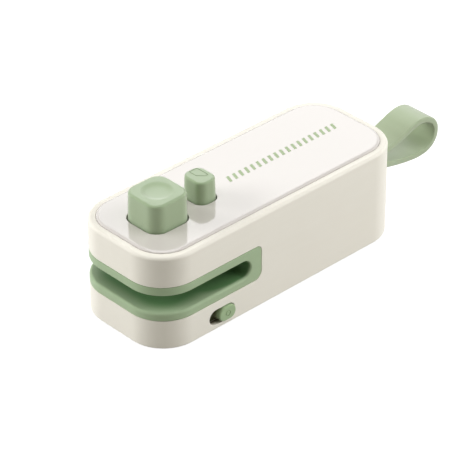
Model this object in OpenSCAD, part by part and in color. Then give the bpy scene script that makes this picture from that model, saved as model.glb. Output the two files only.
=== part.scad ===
// Handheld bag sealer: a pocket heat sealer with a press jaw, a cutter and a wrist loop.
// Millimetres. +Z is up, the bag mouth faces -X and the wrist loop is at +X.
// The origin is the centre of the underside.

/* [Body] */
// Length of the body without the wrist loop
body_length = 93; // [90:0.5:120]
// Width of the body
body_width = 36; // [35:0.5:48]
// Height of the body without the buttons
body_height = 30; // [29:0.5:40]
// Radius of the upright corners
corner_radius = 11.5; // [9:0.5:14]
// Rounding of the top edge
top_edge_radius = 1.4; // [0.6:0.1:1.8]
// Rounding of the bottom edge
bottom_edge_radius = 0.8; // [0.3:0.1:1]
// Thickness of the side walls
wall = 2; // [1.7:0.1:2.6]
// Thickness of the base cover
base_thickness = 1.6; // [1.5:0.1:2]

/* [Mouth] */
// Depth of the bag slot from the front end
mouth_depth = 33.2; // [32:0.2:36]
// Height of the bag slot as a share of the body's height
mouth_share = 0.1867; // [0.17:0.001:0.2]
// Thickness of the liner above the slot
liner_roof = 2.6; // [1.6:0.1:2.8]
// Thickness of the liner below the slot
liner_floor = 2.5; // [1.6:0.1:2.7]
// Thickness of the liner behind the slot
liner_end = 4; // [2.5:0.1:5]
// Radius of the liner's upper rear corner
liner_upper_corner = 1.8; // [1:0.1:3]
// Radius of the liner's lower rear corner
liner_lower_corner = 2.6; // [2:0.1:5]
// Rounding of the slot's outer edge
lip_radius = 0.5; // [0.3:0.1:1.2]

/* [Top panel] */
// Width of the rim around the panel
rim_width = 2.2; // [2:0.1:3]
// Width of the groove between rim and panel
groove_width = 0.4; // [0.3:0.1:0.8]
// Depth of the groove
groove_depth = 0.4; // [0.4:0.1:1]
// Thickness of the panel
panel_thickness = 2; // [1.6:0.1:2.4]
// Rounding of the panel's edge
panel_edge_radius = 0.35; // [0.1:0.05:0.4]

/* [Seal button] */
// Side of the square seal button
seal_size = 13.6; // [12:0.1:15]
// Corner radius of the seal button
seal_corner = 3.8; // [3:0.1:5]
// Distance of the seal button from the front end
seal_setback = 15.65; // [15:0.05:17]
// Height of the seal button above the panel when pressed
seal_stand = 3.4; // [2:0.1:5]
// Draft of the seal button on each side
seal_draft = 0.15; // [0:0.05:0.6]
// Rounding of the seal button's top edge
seal_edge = 0.5; // [0.4:0.1:1.4]
// Diameter of the finger dish
dish_diameter = 9.6; // [7:0.1:10.5]
// Depth of the finger dish
dish_depth = 0.7; // [0.4:0.1:1.2]

/* [Cutter button] */
// Length of the cutter button along the body
cutter_length = 7; // [6.8:0.1:9]
// Width of the cutter button across the body
cutter_width = 8.4; // [7.6:0.1:10]
// Corner radius of the cutter button
cutter_corner = 2.6; // [2:0.1:3.2]
// Distance of the cutter button from the front end
cutter_setback = 31.1; // [30.6:0.05:32]
// Height of the cutter button above the panel when pressed
cutter_stand = 0.6; // [0.4:0.1:3]
// Draft of the cutter button on each side
cutter_draft = 0.2; // [0:0.05:0.3]
// Rounding of the cutter button's top edge
cutter_edge = 0.5; // [0.3:0.1:1]
// Width of the cutter blade
blade_width = 3.6; // [3:0.1:3.8]
// Thickness of the cutter blade
blade_thickness = 0.4; // [0.3:0.05:0.6]

/* [Lock slide] */
// Length of the slot in the side wall
lock_slot_length = 9.4; // [8.6:0.1:11]
// Height of the slot in the side wall
lock_slot_height = 4.8; // [4:0.1:5]
// Distance of the slot's centre from the front end
lock_setback = 22.5; // [21:0.1:25]
// Height of the slot's centre above the underside
lock_level = 4.1; // [4.1:0.1:5]
// Length of the lock knob
knob_length = 6; // [5:0.1:6.5]
// Height that the lock knob stands out of the wall
knob_proud = 0.7; // [0.3:0.1:1.2]

/* [Heater] */
// Reach of the heater beyond the seal button on each side
heater_overhang = 2.2; // [1.5:0.1:2.6]
// Width of the heater block along the slot
heater_width = 6; // [5:0.1:7]
// Width of the heating strip
strip_width = 2.4; // [1.5:0.1:3]
// Thickness of the heating strip
strip_thickness = 0.2; // [0.15:0.05:0.3]
// Thickness of the cover tape
tape_thickness = 0.15; // [0.1:0.05:0.2]
// Thickness of the silicone press pad
pad_thickness = 1.2; // [0.8:0.1:1.6]

/* [Power] */
// Room between the battery and the loop's mounting
battery_end_gap = 3.25; // [2:0.25:12]
// Room on each side of the battery
battery_side_gap = 0.4; // [0.3:0.1:4]
// Thickness of the battery
battery_thickness = 10; // [6:0.5:11]
// Thickness of the circuit board
board_thickness = 1.2; // [0.8:0.1:1.6]

/* [Wrist loop] */
// Reach of the loop beyond the rear wall
loop_reach = 28.4; // [22:0.2:40]
// Outer height of the loop
loop_height = 12.4; // [11:0.2:18]
// Width of the band
band_width = 10; // [7:0.2:12]
// Thickness of the band
band_thickness = 1.8; // [1.4:0.1:2.2]
// Height of the loop's middle above the underside
loop_level = 15.4; // [14:0.1:17]
// Swing of the loop up and down in degrees
loop_swing = 10; // [6:1:12]

/* [Hidden] */

$fn = 72;
edge_steps = 6;
coil_sides = 6;
coil_rings = 8;
past = 1;

// Fits between pieces
button_gap = 0.25;
opening_gap = 0.35;
slide_gap = 0.2;
seat_gap = 0.05;
pin_fit = 0.05;
stem_fit = 0.1;
stop_gap = 0.3;
switch_gap = 0.15;

// Body planes
front_x = -body_length / 2;
rear_x = body_length / 2;
side_y = body_width / 2;
panel_low_z = body_height - panel_thickness;

// Press jaw: how far the pad travels, and the stack that its travel needs above the slot
mouth_gap = body_height * mouth_share;
heater_length = seal_size + 2 * heater_overhang;
heater_rise = strip_thickness + tape_thickness;
pad_recess = 0.1;
film_gap = 0.15;
press_travel = mouth_gap + pad_recess - heater_rise - film_gap;
foot_thickness = 1.4;
turret_wall = 1.2;
turret_roof = 1;
turret_rise = pad_recess + pad_thickness + foot_thickness + slide_gap + turret_roof;
flange_thickness = 1.2;
flange_width = 1;
upper_jaw = panel_thickness + flange_thickness + press_travel + stop_gap + turret_rise;

// Slot and liner planes
ceiling_z = body_height - upper_jaw;
floor_z = ceiling_z - mouth_gap;
slot_radius = mouth_gap / 2;
slot_mid_z = floor_z + slot_radius;
slot_end_x = front_x + mouth_depth;
liner_top_z = ceiling_z + liner_roof;
liner_low_z = floor_z - liner_floor;
liner_rear_x = slot_end_x + liner_end;
turret_top_z = ceiling_z + turret_rise;
corner_x = front_x + corner_radius;
corner_y = side_y - corner_radius;

// Seal button and its plunger
seal_x = front_x + seal_setback;
seal_rise = press_travel + seal_stand;
seal_top_z = body_height + seal_rise;
seal_wall = 1.6;
seal_roof = 2.4;
seal_inner_z = seal_top_z - seal_roof;
flange_low_z = panel_low_z - flange_thickness;
foot_setback = 1;
foot_length = heater_length - 2 * foot_setback;
foot_width = heater_width;
pad_inset = 0.2;
pad_corner = 0.8;
foot_low_z = ceiling_z + pad_recess + pad_thickness;
stem_diameter = 5;
stem_boss_diameter = 6.6;
stem_boss_depth = 4.6;
turret_length = foot_length + 2 * button_gap + 2 * turret_wall;
turret_width = foot_width + 2 * button_gap + 2 * turret_wall;
seal_spring_wire = 0.6;
seal_spring_diameter = (stem_boss_diameter + seal_spring_wire + 2 * slide_gap) / cos(180 / coil_rings);
seal_spring_turns = 7;
sleeve_wall = 1.2;

// Cutter button and its blade
cutter_x = front_x + cutter_setback;
blade_recess = 0.1;
blade_overrun = 0.5;
cutter_travel = mouth_gap + blade_recess + blade_overrun;
cutter_rise = cutter_travel + cutter_stand;
cutter_top_z = body_height + cutter_rise;
cutter_wall = 0.8;
cutter_roof = 1.5;
cutter_inner_z = cutter_top_z - cutter_roof;
blade_tip_z = ceiling_z + blade_recess;
blade_point = 1.6;
blade_grip = 2.3;
blade_slit_gap = 0.3;
holder_thickness = 2;
holder_low_z = liner_top_z + cutter_travel + stop_gap;
cutter_spring_wire = 0.3;
cutter_spring_diameter = cutter_length - 2 * cutter_wall - cutter_spring_wire - slide_gap;
cutter_spring_turns = 11;

// Lock slide and its switch
lock_x = front_x + lock_setback;
lock_travel = lock_slot_length - knob_length - 2 * slide_gap;
knob_height = lock_slot_height - 2 * slide_gap;
knob_x = lock_x + lock_travel / 2;
knob_edge = 0.35;
knob_flat = 0.1;
knob_corner = (knob_height - knob_flat) / 2;
plate_thickness = 0.8;
plate_cover = 0.5;
plate_y = -side_y + wall + slide_gap;
plate_in_y = plate_y + plate_thickness;
rail_thickness = 0.7;
rail_height = 0.6;
lever_size = 1.4;
lever_reach = 1.4;
fork_wall = 0.9;
fork_height = 1.6;
switch_length = 6.8;
switch_depth = 3.2;
switch_height = 3;
switch_y = plate_in_y + lever_reach;
lever_end_y = switch_y + switch_depth / 3;

// Circuit board
post_height = 0.8;
board_low_z = base_thickness + post_height;
board_z = board_low_z + board_thickness;
board_gap = 2;
board_half = side_y - wall - board_gap;
board_front_x = lock_x - switch_length / 2 - slide_gap;
board_notch_gap = 5;
board_notch_x = seal_x + heater_width / 2 + board_notch_gap;
board_tongue_gap = 1.2;
board_tongue_y = -heater_length / 2 - board_tongue_gap;
board_corner_reach = 1;
board_rear_x = rear_x - corner_radius + board_corner_reach;
port_tongue_half = 6.5;
port_tongue_x = rear_x - wall - stop_gap;
chip_pitch = 9;
chip_offset = 4;
controller_size = [5, 4, 1.5];
transistor_size = [6.2, 5, 1.1];
choke_size = [5, 5, 3];
capacitor_size = [3.2, 1.6, 1.2];
lever_z = board_z + switch_height / 2;

// Board screws and case screws
post_diameter = 4;
post_inset = 3;
post_y = board_half - post_inset;
board_screw_diameter = 1.6;
board_screw_head = 2.8;
board_screw_head_height = 0.8;
board_screw_depth = 1.7;
screw_tip_gap = 0.1;
board_screw_front_x = lock_x + switch_length / 2 + post_diameter / 2 + stop_gap;
board_screw_rows = [board_screw_front_x, board_rear_x - post_inset];
boss_radius = 2.5;
boss_sink = 0.4;
boss_offset = (corner_radius - wall - boss_radius + boss_sink) * sqrt(0.5);
boss_x = body_length / 2 - corner_radius + boss_offset;
boss_y = body_width / 2 - corner_radius + boss_offset;
boss_rear_height = 8;
case_screw_diameter = 2;
case_screw_head = 3.6;
case_screw_head_height = 0.8;
case_screw_sink = 0.2;
case_screw_length = 5.5;
cross_width = 0.5;
cross_length = 1.9;
cross_depth = 0.5;

// Shell openings and ledges
base_rim = 1.2;
ledge_width = 1.4;
ledge_thickness = 1.4;
ledge_low_z = panel_low_z - ledge_thickness;

// Heater
shoulder = 1;
terminal_ledge = 1.8;
terminal_size = 1.4;
terminal_width = 3;
terminal_height = 2;
terminal_foot = 0.8;
terminal_gap = 0.6;
block_low_z = liner_low_z - terminal_gap - terminal_height - terminal_foot;
pedestal_width = 3;
strip_leg = 3.8;

// Leads
lead_diameter = 1.2;
thin_lead_diameter = 0.9;
lead_sides = 8;
lead_bend = 1.4;
lead_bend_steps = 4;
lead_setback = 1.5;
thin_lead_pitch = 1.3;
battery_lead_half = 3;

// Charging port, the usual small reversible socket
port_width = 8.94;
port_height = 3.16;
port_length = 7.3;
port_wall = 0.3;
port_radius = 1.2;
port_back = 1;
port_recess = 0.6;
port_x = rear_x - port_recess;
port_z = board_z + port_height / 2;
port_hole_gap = 0.3;
contact_width = 6.7;
contact_thickness = 0.7;
contact_length = 4.6;

// Seal switch under the seal button's flange
switch_board_length = 8;
switch_board_width = 2.8;
switch_board_thickness = 0.5;
switch_board_x = seal_x - turret_width / 2 - slide_gap - switch_board_width / 2;
seal_switch_body = [2.2, 3.4, 0.6];
seal_switch_key = 1.2;
seal_switch_top_z = flange_low_z - press_travel - switch_gap;

// Battery
battery_front_gap = 3;
battery_front_x = liner_rear_x + battery_front_gap;
battery_tape_thickness = 0.8;
battery_low_z = panel_low_z - battery_tape_thickness - battery_thickness;
battery_corner = 2;
battery_edge = 1.2;
battery_tape_inset = 4;
battery_tape_corner = 1;
battery_width = body_width - 2 * (rim_width + ledge_width + battery_side_gap);

// Wrist loop
leg_overlap = 0.1;
neck_height = 2 * band_thickness - leg_overlap;
eye_rim = 0.7;
eye_radius = neck_height / 2 + eye_rim;
loop_pin_diameter = 2;
eye_x = rear_x - wall - stop_gap - eye_radius;
ear_thickness = 2;
ear_gap = 0.3;
ear_y = band_width / 2 + ear_gap;
ear_radius = 3;
loop_pin_half = ear_y + ear_thickness;
loop_slot_half = neck_height / 2 / cos(loop_swing) + (rear_x - eye_x) * tan(loop_swing) + slide_gap;
loop_slot_corner = 0.6;
// The loop's middle line is a drop: its two legs touch at the wall and swell towards the far end
loop_line_reach = loop_reach - band_thickness / 2;
loop_line_half = loop_height / 2 - band_thickness / 2;
loop_taper = 1.3;
loop_widest = acos(-loop_taper / (loop_taper + 1));
loop_step = 5;
loop_start = 20;
loop_probe = 1;

// Length that is left for the battery in front of the loop's mounting
battery_length = eye_x - ear_radius - battery_end_gap - battery_front_x;
battery_x = battery_front_x + battery_length / 2;

// Colours
cream = [0.93, 0.92, 0.88];
gloss_white = [0.96, 0.95, 0.93];
sage = [0.67, 0.74, 0.61];
dark_sage = [0.5, 0.6, 0.44];
steel = [0.75, 0.76, 0.78];
brass = [0.8, 0.65, 0.3];
board_green = [0.1, 0.4, 0.25];
black = [0.12, 0.12, 0.13];
grey = [0.55, 0.56, 0.58];
resin_brown = [0.35, 0.24, 0.16];
amber = [0.72, 0.6, 0.42];
foil = [0.78, 0.8, 0.84];
wire_red = [0.75, 0.2, 0.18];
wire_black = [0.2, 0.2, 0.22];

// Points on an arc
function arc(cx, cy, r, from, to, steps = edge_steps) =
    [for (i = [0:steps]) let (a = from + (to - from) * i / steps) [cx + r * cos(a), cy + r * sin(a)]];

function unit(v) = v / norm(v);

// Outline of a rectangle with round corners
module rounded_outline(length, width, radius) {
    square([length - 2 * radius, width], center = true);
    square([length, width - 2 * radius], center = true);
    for (sx = [-1, 1], sy = [-1, 1])
        translate([sx * (length / 2 - radius), sy * (width / 2 - radius)])
            circle(r = radius);
}

// Outline of a slot with full round ends
module stadium_outline(length, width) {
    square([length - width, width], center = true);
    for (side = [-1, 1])
        translate([side * (length - width) / 2, 0])
            circle(d = width);
}

module rounded_prism(length, width, radius, z0, z1) {
    translate([0, 0, z0])
        linear_extrude(z1 - z0)
            rounded_outline(length, width, radius);
}

// A prism that follows the body's outline at a given distance inside it
module body_prism(inset, z0, z1) {
    rounded_prism(body_length - 2 * inset, body_width - 2 * inset, corner_radius - inset, z0, z1);
}

// Section from a corner's axis out to the side, with a drafted side and rounded edges
module edge_section(radius, height, top_r, bottom_r, draft) {
    lean = atan2(draft, height);
    top_z = height - top_r;
    top_u = radius - draft * top_z / height - top_r / cos(lean);
    low = bottom_r > 0 ? arc(radius - bottom_r, bottom_r, bottom_r, -90, 0) : [[radius, 0]];
    high = arc(top_u, top_z, top_r, lean, 90);
    polygon(concat([[0, 0]], low, high, [[0, height]]));
}

// A block with round upright corners, drafted sides and rounded top and bottom edges
module soft_block(length, width, height, radius, top_r, bottom_r = 0, draft = 0) {
    run_x = length / 2 - radius;
    run_y = width / 2 - radius;
    translate([-run_x, -run_y, 0])
        cube([2 * run_x, 2 * run_y, height]);
    for (side = [0, 180])
        rotate([0, 0, side]) {
            translate([run_x, run_y, 0])
                rotate([90, 0, 0])
                    linear_extrude(2 * run_y)
                        edge_section(radius, height, top_r, bottom_r, draft);
            translate([-run_x, run_y, 0])
                rotate([90, 0, 90])
                    linear_extrude(2 * run_x)
                        edge_section(radius, height, top_r, bottom_r, draft);
            translate([run_x, run_y, 0])
                rotate_extrude(angle = 90)
                    edge_section(radius, height, top_r, bottom_r, draft);
            translate([-run_x, run_y, 0])
                rotate([0, 0, 90])
                    rotate_extrude(angle = 90)
                        edge_section(radius, height, top_r, bottom_r, draft);
        }
}

// Turns a drawing in X and Z into a wall across the whole body
module across(half_width) {
    translate([0, half_width, 0])
        rotate([90, 0, 0])
            linear_extrude(2 * half_width)
                children();
}

// A plain post or pin along Z
module post(x, y, z0, z1, diameter) {
    translate([x, y, z0])
        cylinder(h = z1 - z0, d = diameter);
}

// A box from its lowest to its highest corner
module box(low, high) {
    translate(low)
        cube(high - low);
}

// A route with its corners rounded
function bent_corner(before, corner, after) =
    let (
        reach = min(lead_bend, norm(before - corner) / 2, norm(after - corner) / 2),
        from = corner + reach * unit(before - corner),
        to = corner + reach * unit(after - corner)
    )
    [for (i = [0:lead_bend_steps])
        let (t = i / lead_bend_steps)
        (1 - t) * (1 - t) * from + 2 * t * (1 - t) * corner + t * t * to];

function bent_route(points) =
    let (last = len(points) - 1)
    concat(
        [points[0]],
        [for (i = [1:last - 1]) each bent_corner(points[i - 1], points[i], points[i + 1])],
        [points[last]]
    );

// A tube swept along a list of points
function tube_ring(points, i, radius, sides, aid) =
    let (
        last = len(points) - 1,
        run = unit(points[min(i + 1, last)] - points[max(i - 1, 0)]),
        u = unit(cross(run, aid)),
        v = cross(run, u)
    )
    [for (k = [0:sides - 1]) points[i] + radius * (cos(360 * k / sides) * u + sin(360 * k / sides) * v)];

module swept_tube(points, diameter, sides, aid) {
    rings = len(points);
    skin = [
        for (i = [0:rings - 2], k = [0:sides - 1])
            let (a = i * sides + k, b = i * sides + (k + 1) % sides)
            each [[a, b, b + sides], [a, b + sides, a + sides]]
    ];
    start = [for (k = [1:sides - 2]) [0, k + 1, k]];
    last = (rings - 1) * sides;
    end = [for (k = [1:sides - 2]) [last, last + k, last + k + 1]];
    polyhedron(
        points = [for (i = [0:rings - 1]) each tube_ring(points, i, diameter / 2, sides, aid)],
        faces = concat(skin, start, end)
    );
}

// A compression spring: its curls follow a helix between two heights
function coil_points(diameter, wire, z0, z1, turns) =
    [for (i = [0:turns * coil_rings])
        let (a = 360 * i / coil_rings, climb = (z1 - z0 - wire) * i / (turns * coil_rings))
        [diameter / 2 * cos(a), diameter / 2 * sin(a), z0 + wire / 2 + climb]];

function coil_gap(points, wire) =
    min([for (i = [0:len(points) - 1 - coil_rings]) norm(points[i + coil_rings] - points[i])]) - wire;

module coil(diameter, wire, z0, z1, turns, name) {
    points = coil_points(diameter, wire, z0, z1, turns);
    echo(str(name, " least gap between curls: ", coil_gap(points, wire)));
    swept_tube(points, wire, coil_sides, [0, 0, 1]);
}

// Outline of the liner in X and Z, which is also the opening for it in the shell
module liner_outline() {
    low_r = liner_lower_corner;
    high_r = liner_upper_corner;
    low = arc(liner_rear_x - low_r, liner_low_z + low_r, low_r, -90, 0);
    high = arc(liner_rear_x - high_r, liner_top_z - high_r, high_r, 0, 90);
    polygon(concat([[front_x - past, liner_low_z]], low, high, [[front_x - past, liner_top_z]]));
}

// The bag slot in X and Z, with a round end
module slot_outline() {
    translate([front_x - past, floor_z])
        square([mouth_depth + past - slot_radius, mouth_gap]);
    translate([slot_end_x - slot_radius, slot_mid_z])
        circle(r = slot_radius);
}

// Section of the slot's rounded lips, from a corner's axis outwards
module lip_section(reach) {
    high = arc(reach - lip_radius, ceiling_z + lip_radius, lip_radius, -90, 0);
    low = arc(reach - lip_radius, floor_z - lip_radius, lip_radius, 0, 90);
    outer = [[reach + past, ceiling_z + lip_radius], [reach + past, floor_z - lip_radius]];
    polygon(concat(high, outer, low));
}

// Section of the rounding at the slot's inner end, about the end's own axis
module lip_end_section() {
    round_edge = arc(slot_radius + lip_radius, side_y - lip_radius, lip_radius, 180, 90);
    polygon(concat(
        [[0, side_y - lip_radius]],
        round_edge,
        [[slot_radius + lip_radius, side_y + past], [0, side_y + past]]
    ));
}

module slot_lips() {
    end_x = slot_end_x - slot_radius;
    for (side = [0, 1])
        mirror([0, side, 0]) {
            translate([corner_x, 0, 0])
                rotate([90, 0, 90])
                    linear_extrude(end_x - corner_x)
                        lip_section(side_y);
            translate([corner_x, corner_y, 0])
                rotate([0, 0, 90])
                    rotate_extrude(angle = 90)
                        lip_section(corner_radius);
            translate([end_x, 0, slot_mid_z])
                rotate([-90, 0, 0])
                    rotate([0, 0, -90])
                        rotate_extrude(angle = 180)
                            lip_end_section();
        }
    translate([corner_x, -corner_y, 0])
        rotate([90, 0, 180])
            linear_extrude(2 * corner_y)
                lip_section(corner_radius);
}

// Casing

module shell_bosses() {
    for (sy = [-1, 1]) {
        post(-boss_x, sy * boss_y, base_thickness, liner_low_z, 2 * boss_radius);
        post(boss_x, sy * boss_y, base_thickness, base_thickness + boss_rear_height, 2 * boss_radius);
    }
}

module loop_ears() {
    for (sy = [-1, 1])
        translate([0, sy * (ear_y + ear_thickness / 2), 0])
            across(ear_thickness / 2) {
                translate([eye_x, loop_level])
                    circle(r = ear_radius);
                translate([eye_x, loop_level - ear_radius])
                    square([rear_x - wall / 2 - eye_x, 2 * ear_radius]);
            }
}

module main_shell() {
    color(cream)
        difference() {
            union() {
                difference() {
                    soft_block(body_length, body_width, body_height, corner_radius,
                        top_edge_radius, bottom_edge_radius);
                    body_prism(base_rim, -past, base_thickness);
                    body_prism(wall, base_thickness - past / 2, ledge_low_z);
                    body_prism(rim_width + ledge_width, ledge_low_z - past, panel_low_z + past / 2);
                    body_prism(rim_width, panel_low_z, body_height + past);
                }
                shell_bosses();
                loop_ears();
            }
            across(side_y + past)
                liner_outline();
            translate([lock_x, -side_y + wall + past, lock_level])
                rotate([90, 0, 0])
                    linear_extrude(wall + 2 * past)
                        stadium_outline(lock_slot_length, lock_slot_height);
            translate([rear_x - wall - past, 0, port_z])
                rotate([90, 0, 90])
                    linear_extrude(wall + 2 * past)
                        rounded_outline(port_width + 2 * port_hole_gap, port_height + 2 * port_hole_gap,
                            port_radius + port_hole_gap);
            translate([rear_x - wall - past, 0, loop_level])
                rotate([90, 0, 90])
                    linear_extrude(wall + 2 * past)
                        rounded_outline(band_width + 2 * ear_gap, 2 * loop_slot_half, loop_slot_corner);
            translate([eye_x, 0, loop_level])
                rotate([90, 0, 0])
                    cylinder(h = 2 * loop_pin_half + seat_gap, d = loop_pin_diameter + pin_fit,
                        center = true);
            for (sx = [-1, 1], sy = [-1, 1])
                post(sx * boss_x, sy * boss_y, base_thickness - past,
                    base_thickness + case_screw_length + past / 2, case_screw_diameter + pin_fit);
        }
}

// Guide sleeve under the panel that a button's flange runs in
module sleeve(x, length, width, corner, travel, grow) {
    low_z = flange_low_z - travel;
    translate([x, 0, 0])
        rounded_prism(length + 2 * grow, width + 2 * grow, corner + grow, low_z, panel_low_z);
}

module top_panel() {
    flange_grow = flange_width + slide_gap;
    color(gloss_white)
        difference() {
            union() {
                body_prism(rim_width + seat_gap, panel_low_z, body_height - groove_depth);
                translate([0, 0, body_height - groove_depth])
                    soft_block(body_length - 2 * (rim_width + groove_width),
                        body_width - 2 * (rim_width + groove_width), groove_depth,
                        corner_radius - rim_width - groove_width, panel_edge_radius);
                sleeve(seal_x, seal_size, seal_size, seal_corner, press_travel, flange_grow + sleeve_wall);
                sleeve(cutter_x, cutter_length, cutter_width, cutter_corner, cutter_travel,
                    flange_grow + sleeve_wall);
            }
            translate([0, 0, -past])
                sleeve(seal_x, seal_size, seal_size, seal_corner, press_travel, flange_grow);
            sleeve(seal_x, seal_size, seal_size, seal_corner, press_travel, flange_grow);
            translate([0, 0, -past])
                sleeve(cutter_x, cutter_length, cutter_width, cutter_corner, cutter_travel, flange_grow);
            sleeve(cutter_x, cutter_length, cutter_width, cutter_corner, cutter_travel, flange_grow);
            translate([seal_x, 0, 0])
                rounded_prism(seal_size + 2 * opening_gap, seal_size + 2 * opening_gap,
                    seal_corner + opening_gap, panel_low_z - past, body_height + past);
            translate([cutter_x, 0, 0])
                rounded_prism(cutter_length + 2 * opening_gap, cutter_width + 2 * opening_gap,
                    cutter_corner + opening_gap, panel_low_z - past, body_height + past);
        }
}

module base_cover() {
    rail_y = plate_in_y + slide_gap;
    rail_low_x = lock_x - lock_slot_length / 2 - lock_travel - plate_cover;
    rail_high_x = lock_x + lock_slot_length / 2 + lock_travel + plate_cover;
    color(cream)
        difference() {
            union() {
                body_prism(base_rim + seat_gap, 0, base_thickness);
                for (x = board_screw_rows, sy = [-1, 1])
                    post(x, sy * post_y, 0, board_low_z, post_diameter);
                for (sy = [-1, 1])
                    translate([0, sy * (heater_length / 2 - pedestal_width), 0])
                        box([seal_x - heater_width / 2, -pedestal_width / 2, 0],
                            [seal_x + heater_width / 2, pedestal_width / 2, block_low_z]);
                box([rail_low_x, rail_y, 0],
                    [rail_high_x, rail_y + rail_thickness, base_thickness + rail_height]);
            }
            for (x = board_screw_rows, sy = [-1, 1])
                post(x, sy * post_y, board_low_z - board_screw_depth - screw_tip_gap,
                    board_low_z + past, board_screw_diameter + pin_fit);
            for (sx = [-1, 1], sy = [-1, 1]) {
                post(sx * boss_x, sy * boss_y, -past, base_thickness + past,
                    case_screw_diameter + 2 * slide_gap);
                post(sx * boss_x, sy * boss_y, -past, case_screw_sink + case_screw_head_height,
                    case_screw_head + 2 * slide_gap);
            }
        }
}

module mouth_liner() {
    opening_y = foot_length / 2 + button_gap;
    opening_x = foot_width / 2 + button_gap;
    slit_x = blade_thickness / 2 + blade_slit_gap;
    slit_y = blade_width / 2 + blade_slit_gap;
    color(sage)
        difference() {
            union() {
                intersection() {
                    body_prism(0, liner_low_z, liner_top_z);
                    across(side_y + past)
                        liner_outline();
                }
                box([seal_x - turret_width / 2, -turret_length / 2, liner_top_z - past],
                    [seal_x + turret_width / 2, turret_length / 2, turret_top_z]);
            }
            across(side_y + past)
                slot_outline();
            slot_lips();
            box([seal_x - opening_x, -opening_y, slot_mid_z],
                [seal_x + opening_x, opening_y, turret_top_z - turret_roof]);
            post(seal_x, 0, slot_mid_z, turret_top_z + past, stem_diameter + 2 * stem_fit);
            box([seal_x - heater_width / 2 - slide_gap, -heater_length / 2 - shoulder, liner_low_z - past],
                [seal_x + heater_width / 2 + slide_gap, heater_length / 2 + shoulder, slot_mid_z]);
            box([cutter_x - slit_x, -slit_y, liner_low_z - past],
                [cutter_x + slit_x, slit_y, liner_top_z + past]);
        }
}

module case_screws() {
    color(steel)
        for (sx = [-1, 1], sy = [-1, 1])
            difference() {
                union() {
                    post(sx * boss_x, sy * boss_y, case_screw_sink,
                        case_screw_sink + case_screw_head_height, case_screw_head);
                    post(sx * boss_x, sy * boss_y, case_screw_sink, base_thickness + case_screw_length,
                        case_screw_diameter);
                }
                translate([sx * boss_x, sy * boss_y, case_screw_sink])
                    for (turn = [0, 90])
                        rotate([0, 0, turn])
                            cube([cross_length, cross_width, 2 * cross_depth], center = true);
            }
}

// Seal button group

// A hollow button cap with a straight skirt in the panel and a flange under it
module button_cap(length, width, corner, rise, draft, edge, cap_wall, inner_z) {
    difference() {
        union() {
            rounded_prism(length + 2 * flange_width, width + 2 * flange_width, corner + flange_width,
                flange_low_z, panel_low_z - seat_gap);
            rounded_prism(length, width, corner, flange_low_z, body_height);
            translate([0, 0, body_height])
                soft_block(length, width, rise, corner, edge, 0, draft);
        }
        rounded_prism(length - 2 * cap_wall, width - 2 * cap_wall, corner - cap_wall,
            flange_low_z - past, inner_z);
    }
}

module seal_button() {
    dish_radius = (dish_diameter * dish_diameter / 4 + dish_depth * dish_depth) / (2 * dish_depth);
    color(sage)
        translate([seal_x, 0, 0])
            difference() {
                union() {
                    button_cap(seal_size, seal_size, seal_corner, seal_rise, seal_draft, seal_edge,
                        seal_wall, seal_inner_z);
                    post(0, 0, seal_inner_z - stem_boss_depth, seal_inner_z + past / 2, stem_boss_diameter);
                }
                post(0, 0, seal_inner_z - stem_boss_depth - past, seal_inner_z, stem_diameter + pin_fit);
                translate([0, 0, seal_top_z - dish_depth + dish_radius])
                    sphere(r = dish_radius);
            }
}

module press_plunger() {
    color(black)
        translate([seal_x, 0, 0]) {
            box([-foot_width / 2, -foot_length / 2, foot_low_z],
                [foot_width / 2, foot_length / 2, foot_low_z + foot_thickness]);
            post(0, 0, foot_low_z, seal_inner_z, stem_diameter);
        }
}

module press_pad() {
    color(grey)
        translate([seal_x, 0, 0])
            rounded_prism(foot_width - 2 * pad_inset, foot_length - 2 * pad_inset, pad_corner,
                foot_low_z - pad_thickness, foot_low_z);
}

module seal_spring() {
    color(steel)
        translate([seal_x, 0, 0])
            coil(seal_spring_diameter, seal_spring_wire, turret_top_z + seat_gap, seal_inner_z - seat_gap,
                seal_spring_turns, "seal spring");
}

// Cutter group

module cutter_button() {
    color(sage)
        translate([cutter_x, 0, 0])
            button_cap(cutter_length, cutter_width, cutter_corner, cutter_rise, cutter_draft, cutter_edge,
                cutter_wall, cutter_inner_z);
}

module blade_holder() {
    color(gloss_white)
        translate([cutter_x, 0, 0])
            difference() {
                box([-holder_thickness / 2, -blade_width / 2, holder_low_z],
                    [holder_thickness / 2, blade_width / 2, cutter_inner_z]);
                box([-blade_thickness / 2 - pin_fit / 2, -blade_width, holder_low_z - past],
                    [blade_thickness / 2 + pin_fit / 2, blade_width, cutter_inner_z - blade_grip]);
            }
}

module cutter_blade() {
    half = blade_width / 2;
    color(steel)
        translate([cutter_x - blade_thickness / 2, 0, 0])
            rotate([90, 0, 90])
                linear_extrude(blade_thickness)
                    polygon([
                        [0, blade_tip_z],
                        [half, blade_tip_z + blade_point],
                        [half, cutter_inner_z - blade_grip],
                        [-half, cutter_inner_z - blade_grip],
                        [-half, blade_tip_z + blade_point]
                    ]);
}

module cutter_spring() {
    color(steel)
        translate([cutter_x, 0, 0])
            coil(cutter_spring_diameter, cutter_spring_wire, liner_top_z + seat_gap,
                cutter_inner_z - seat_gap, cutter_spring_turns, "cutter spring");
}

// Lock slide group

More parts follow.
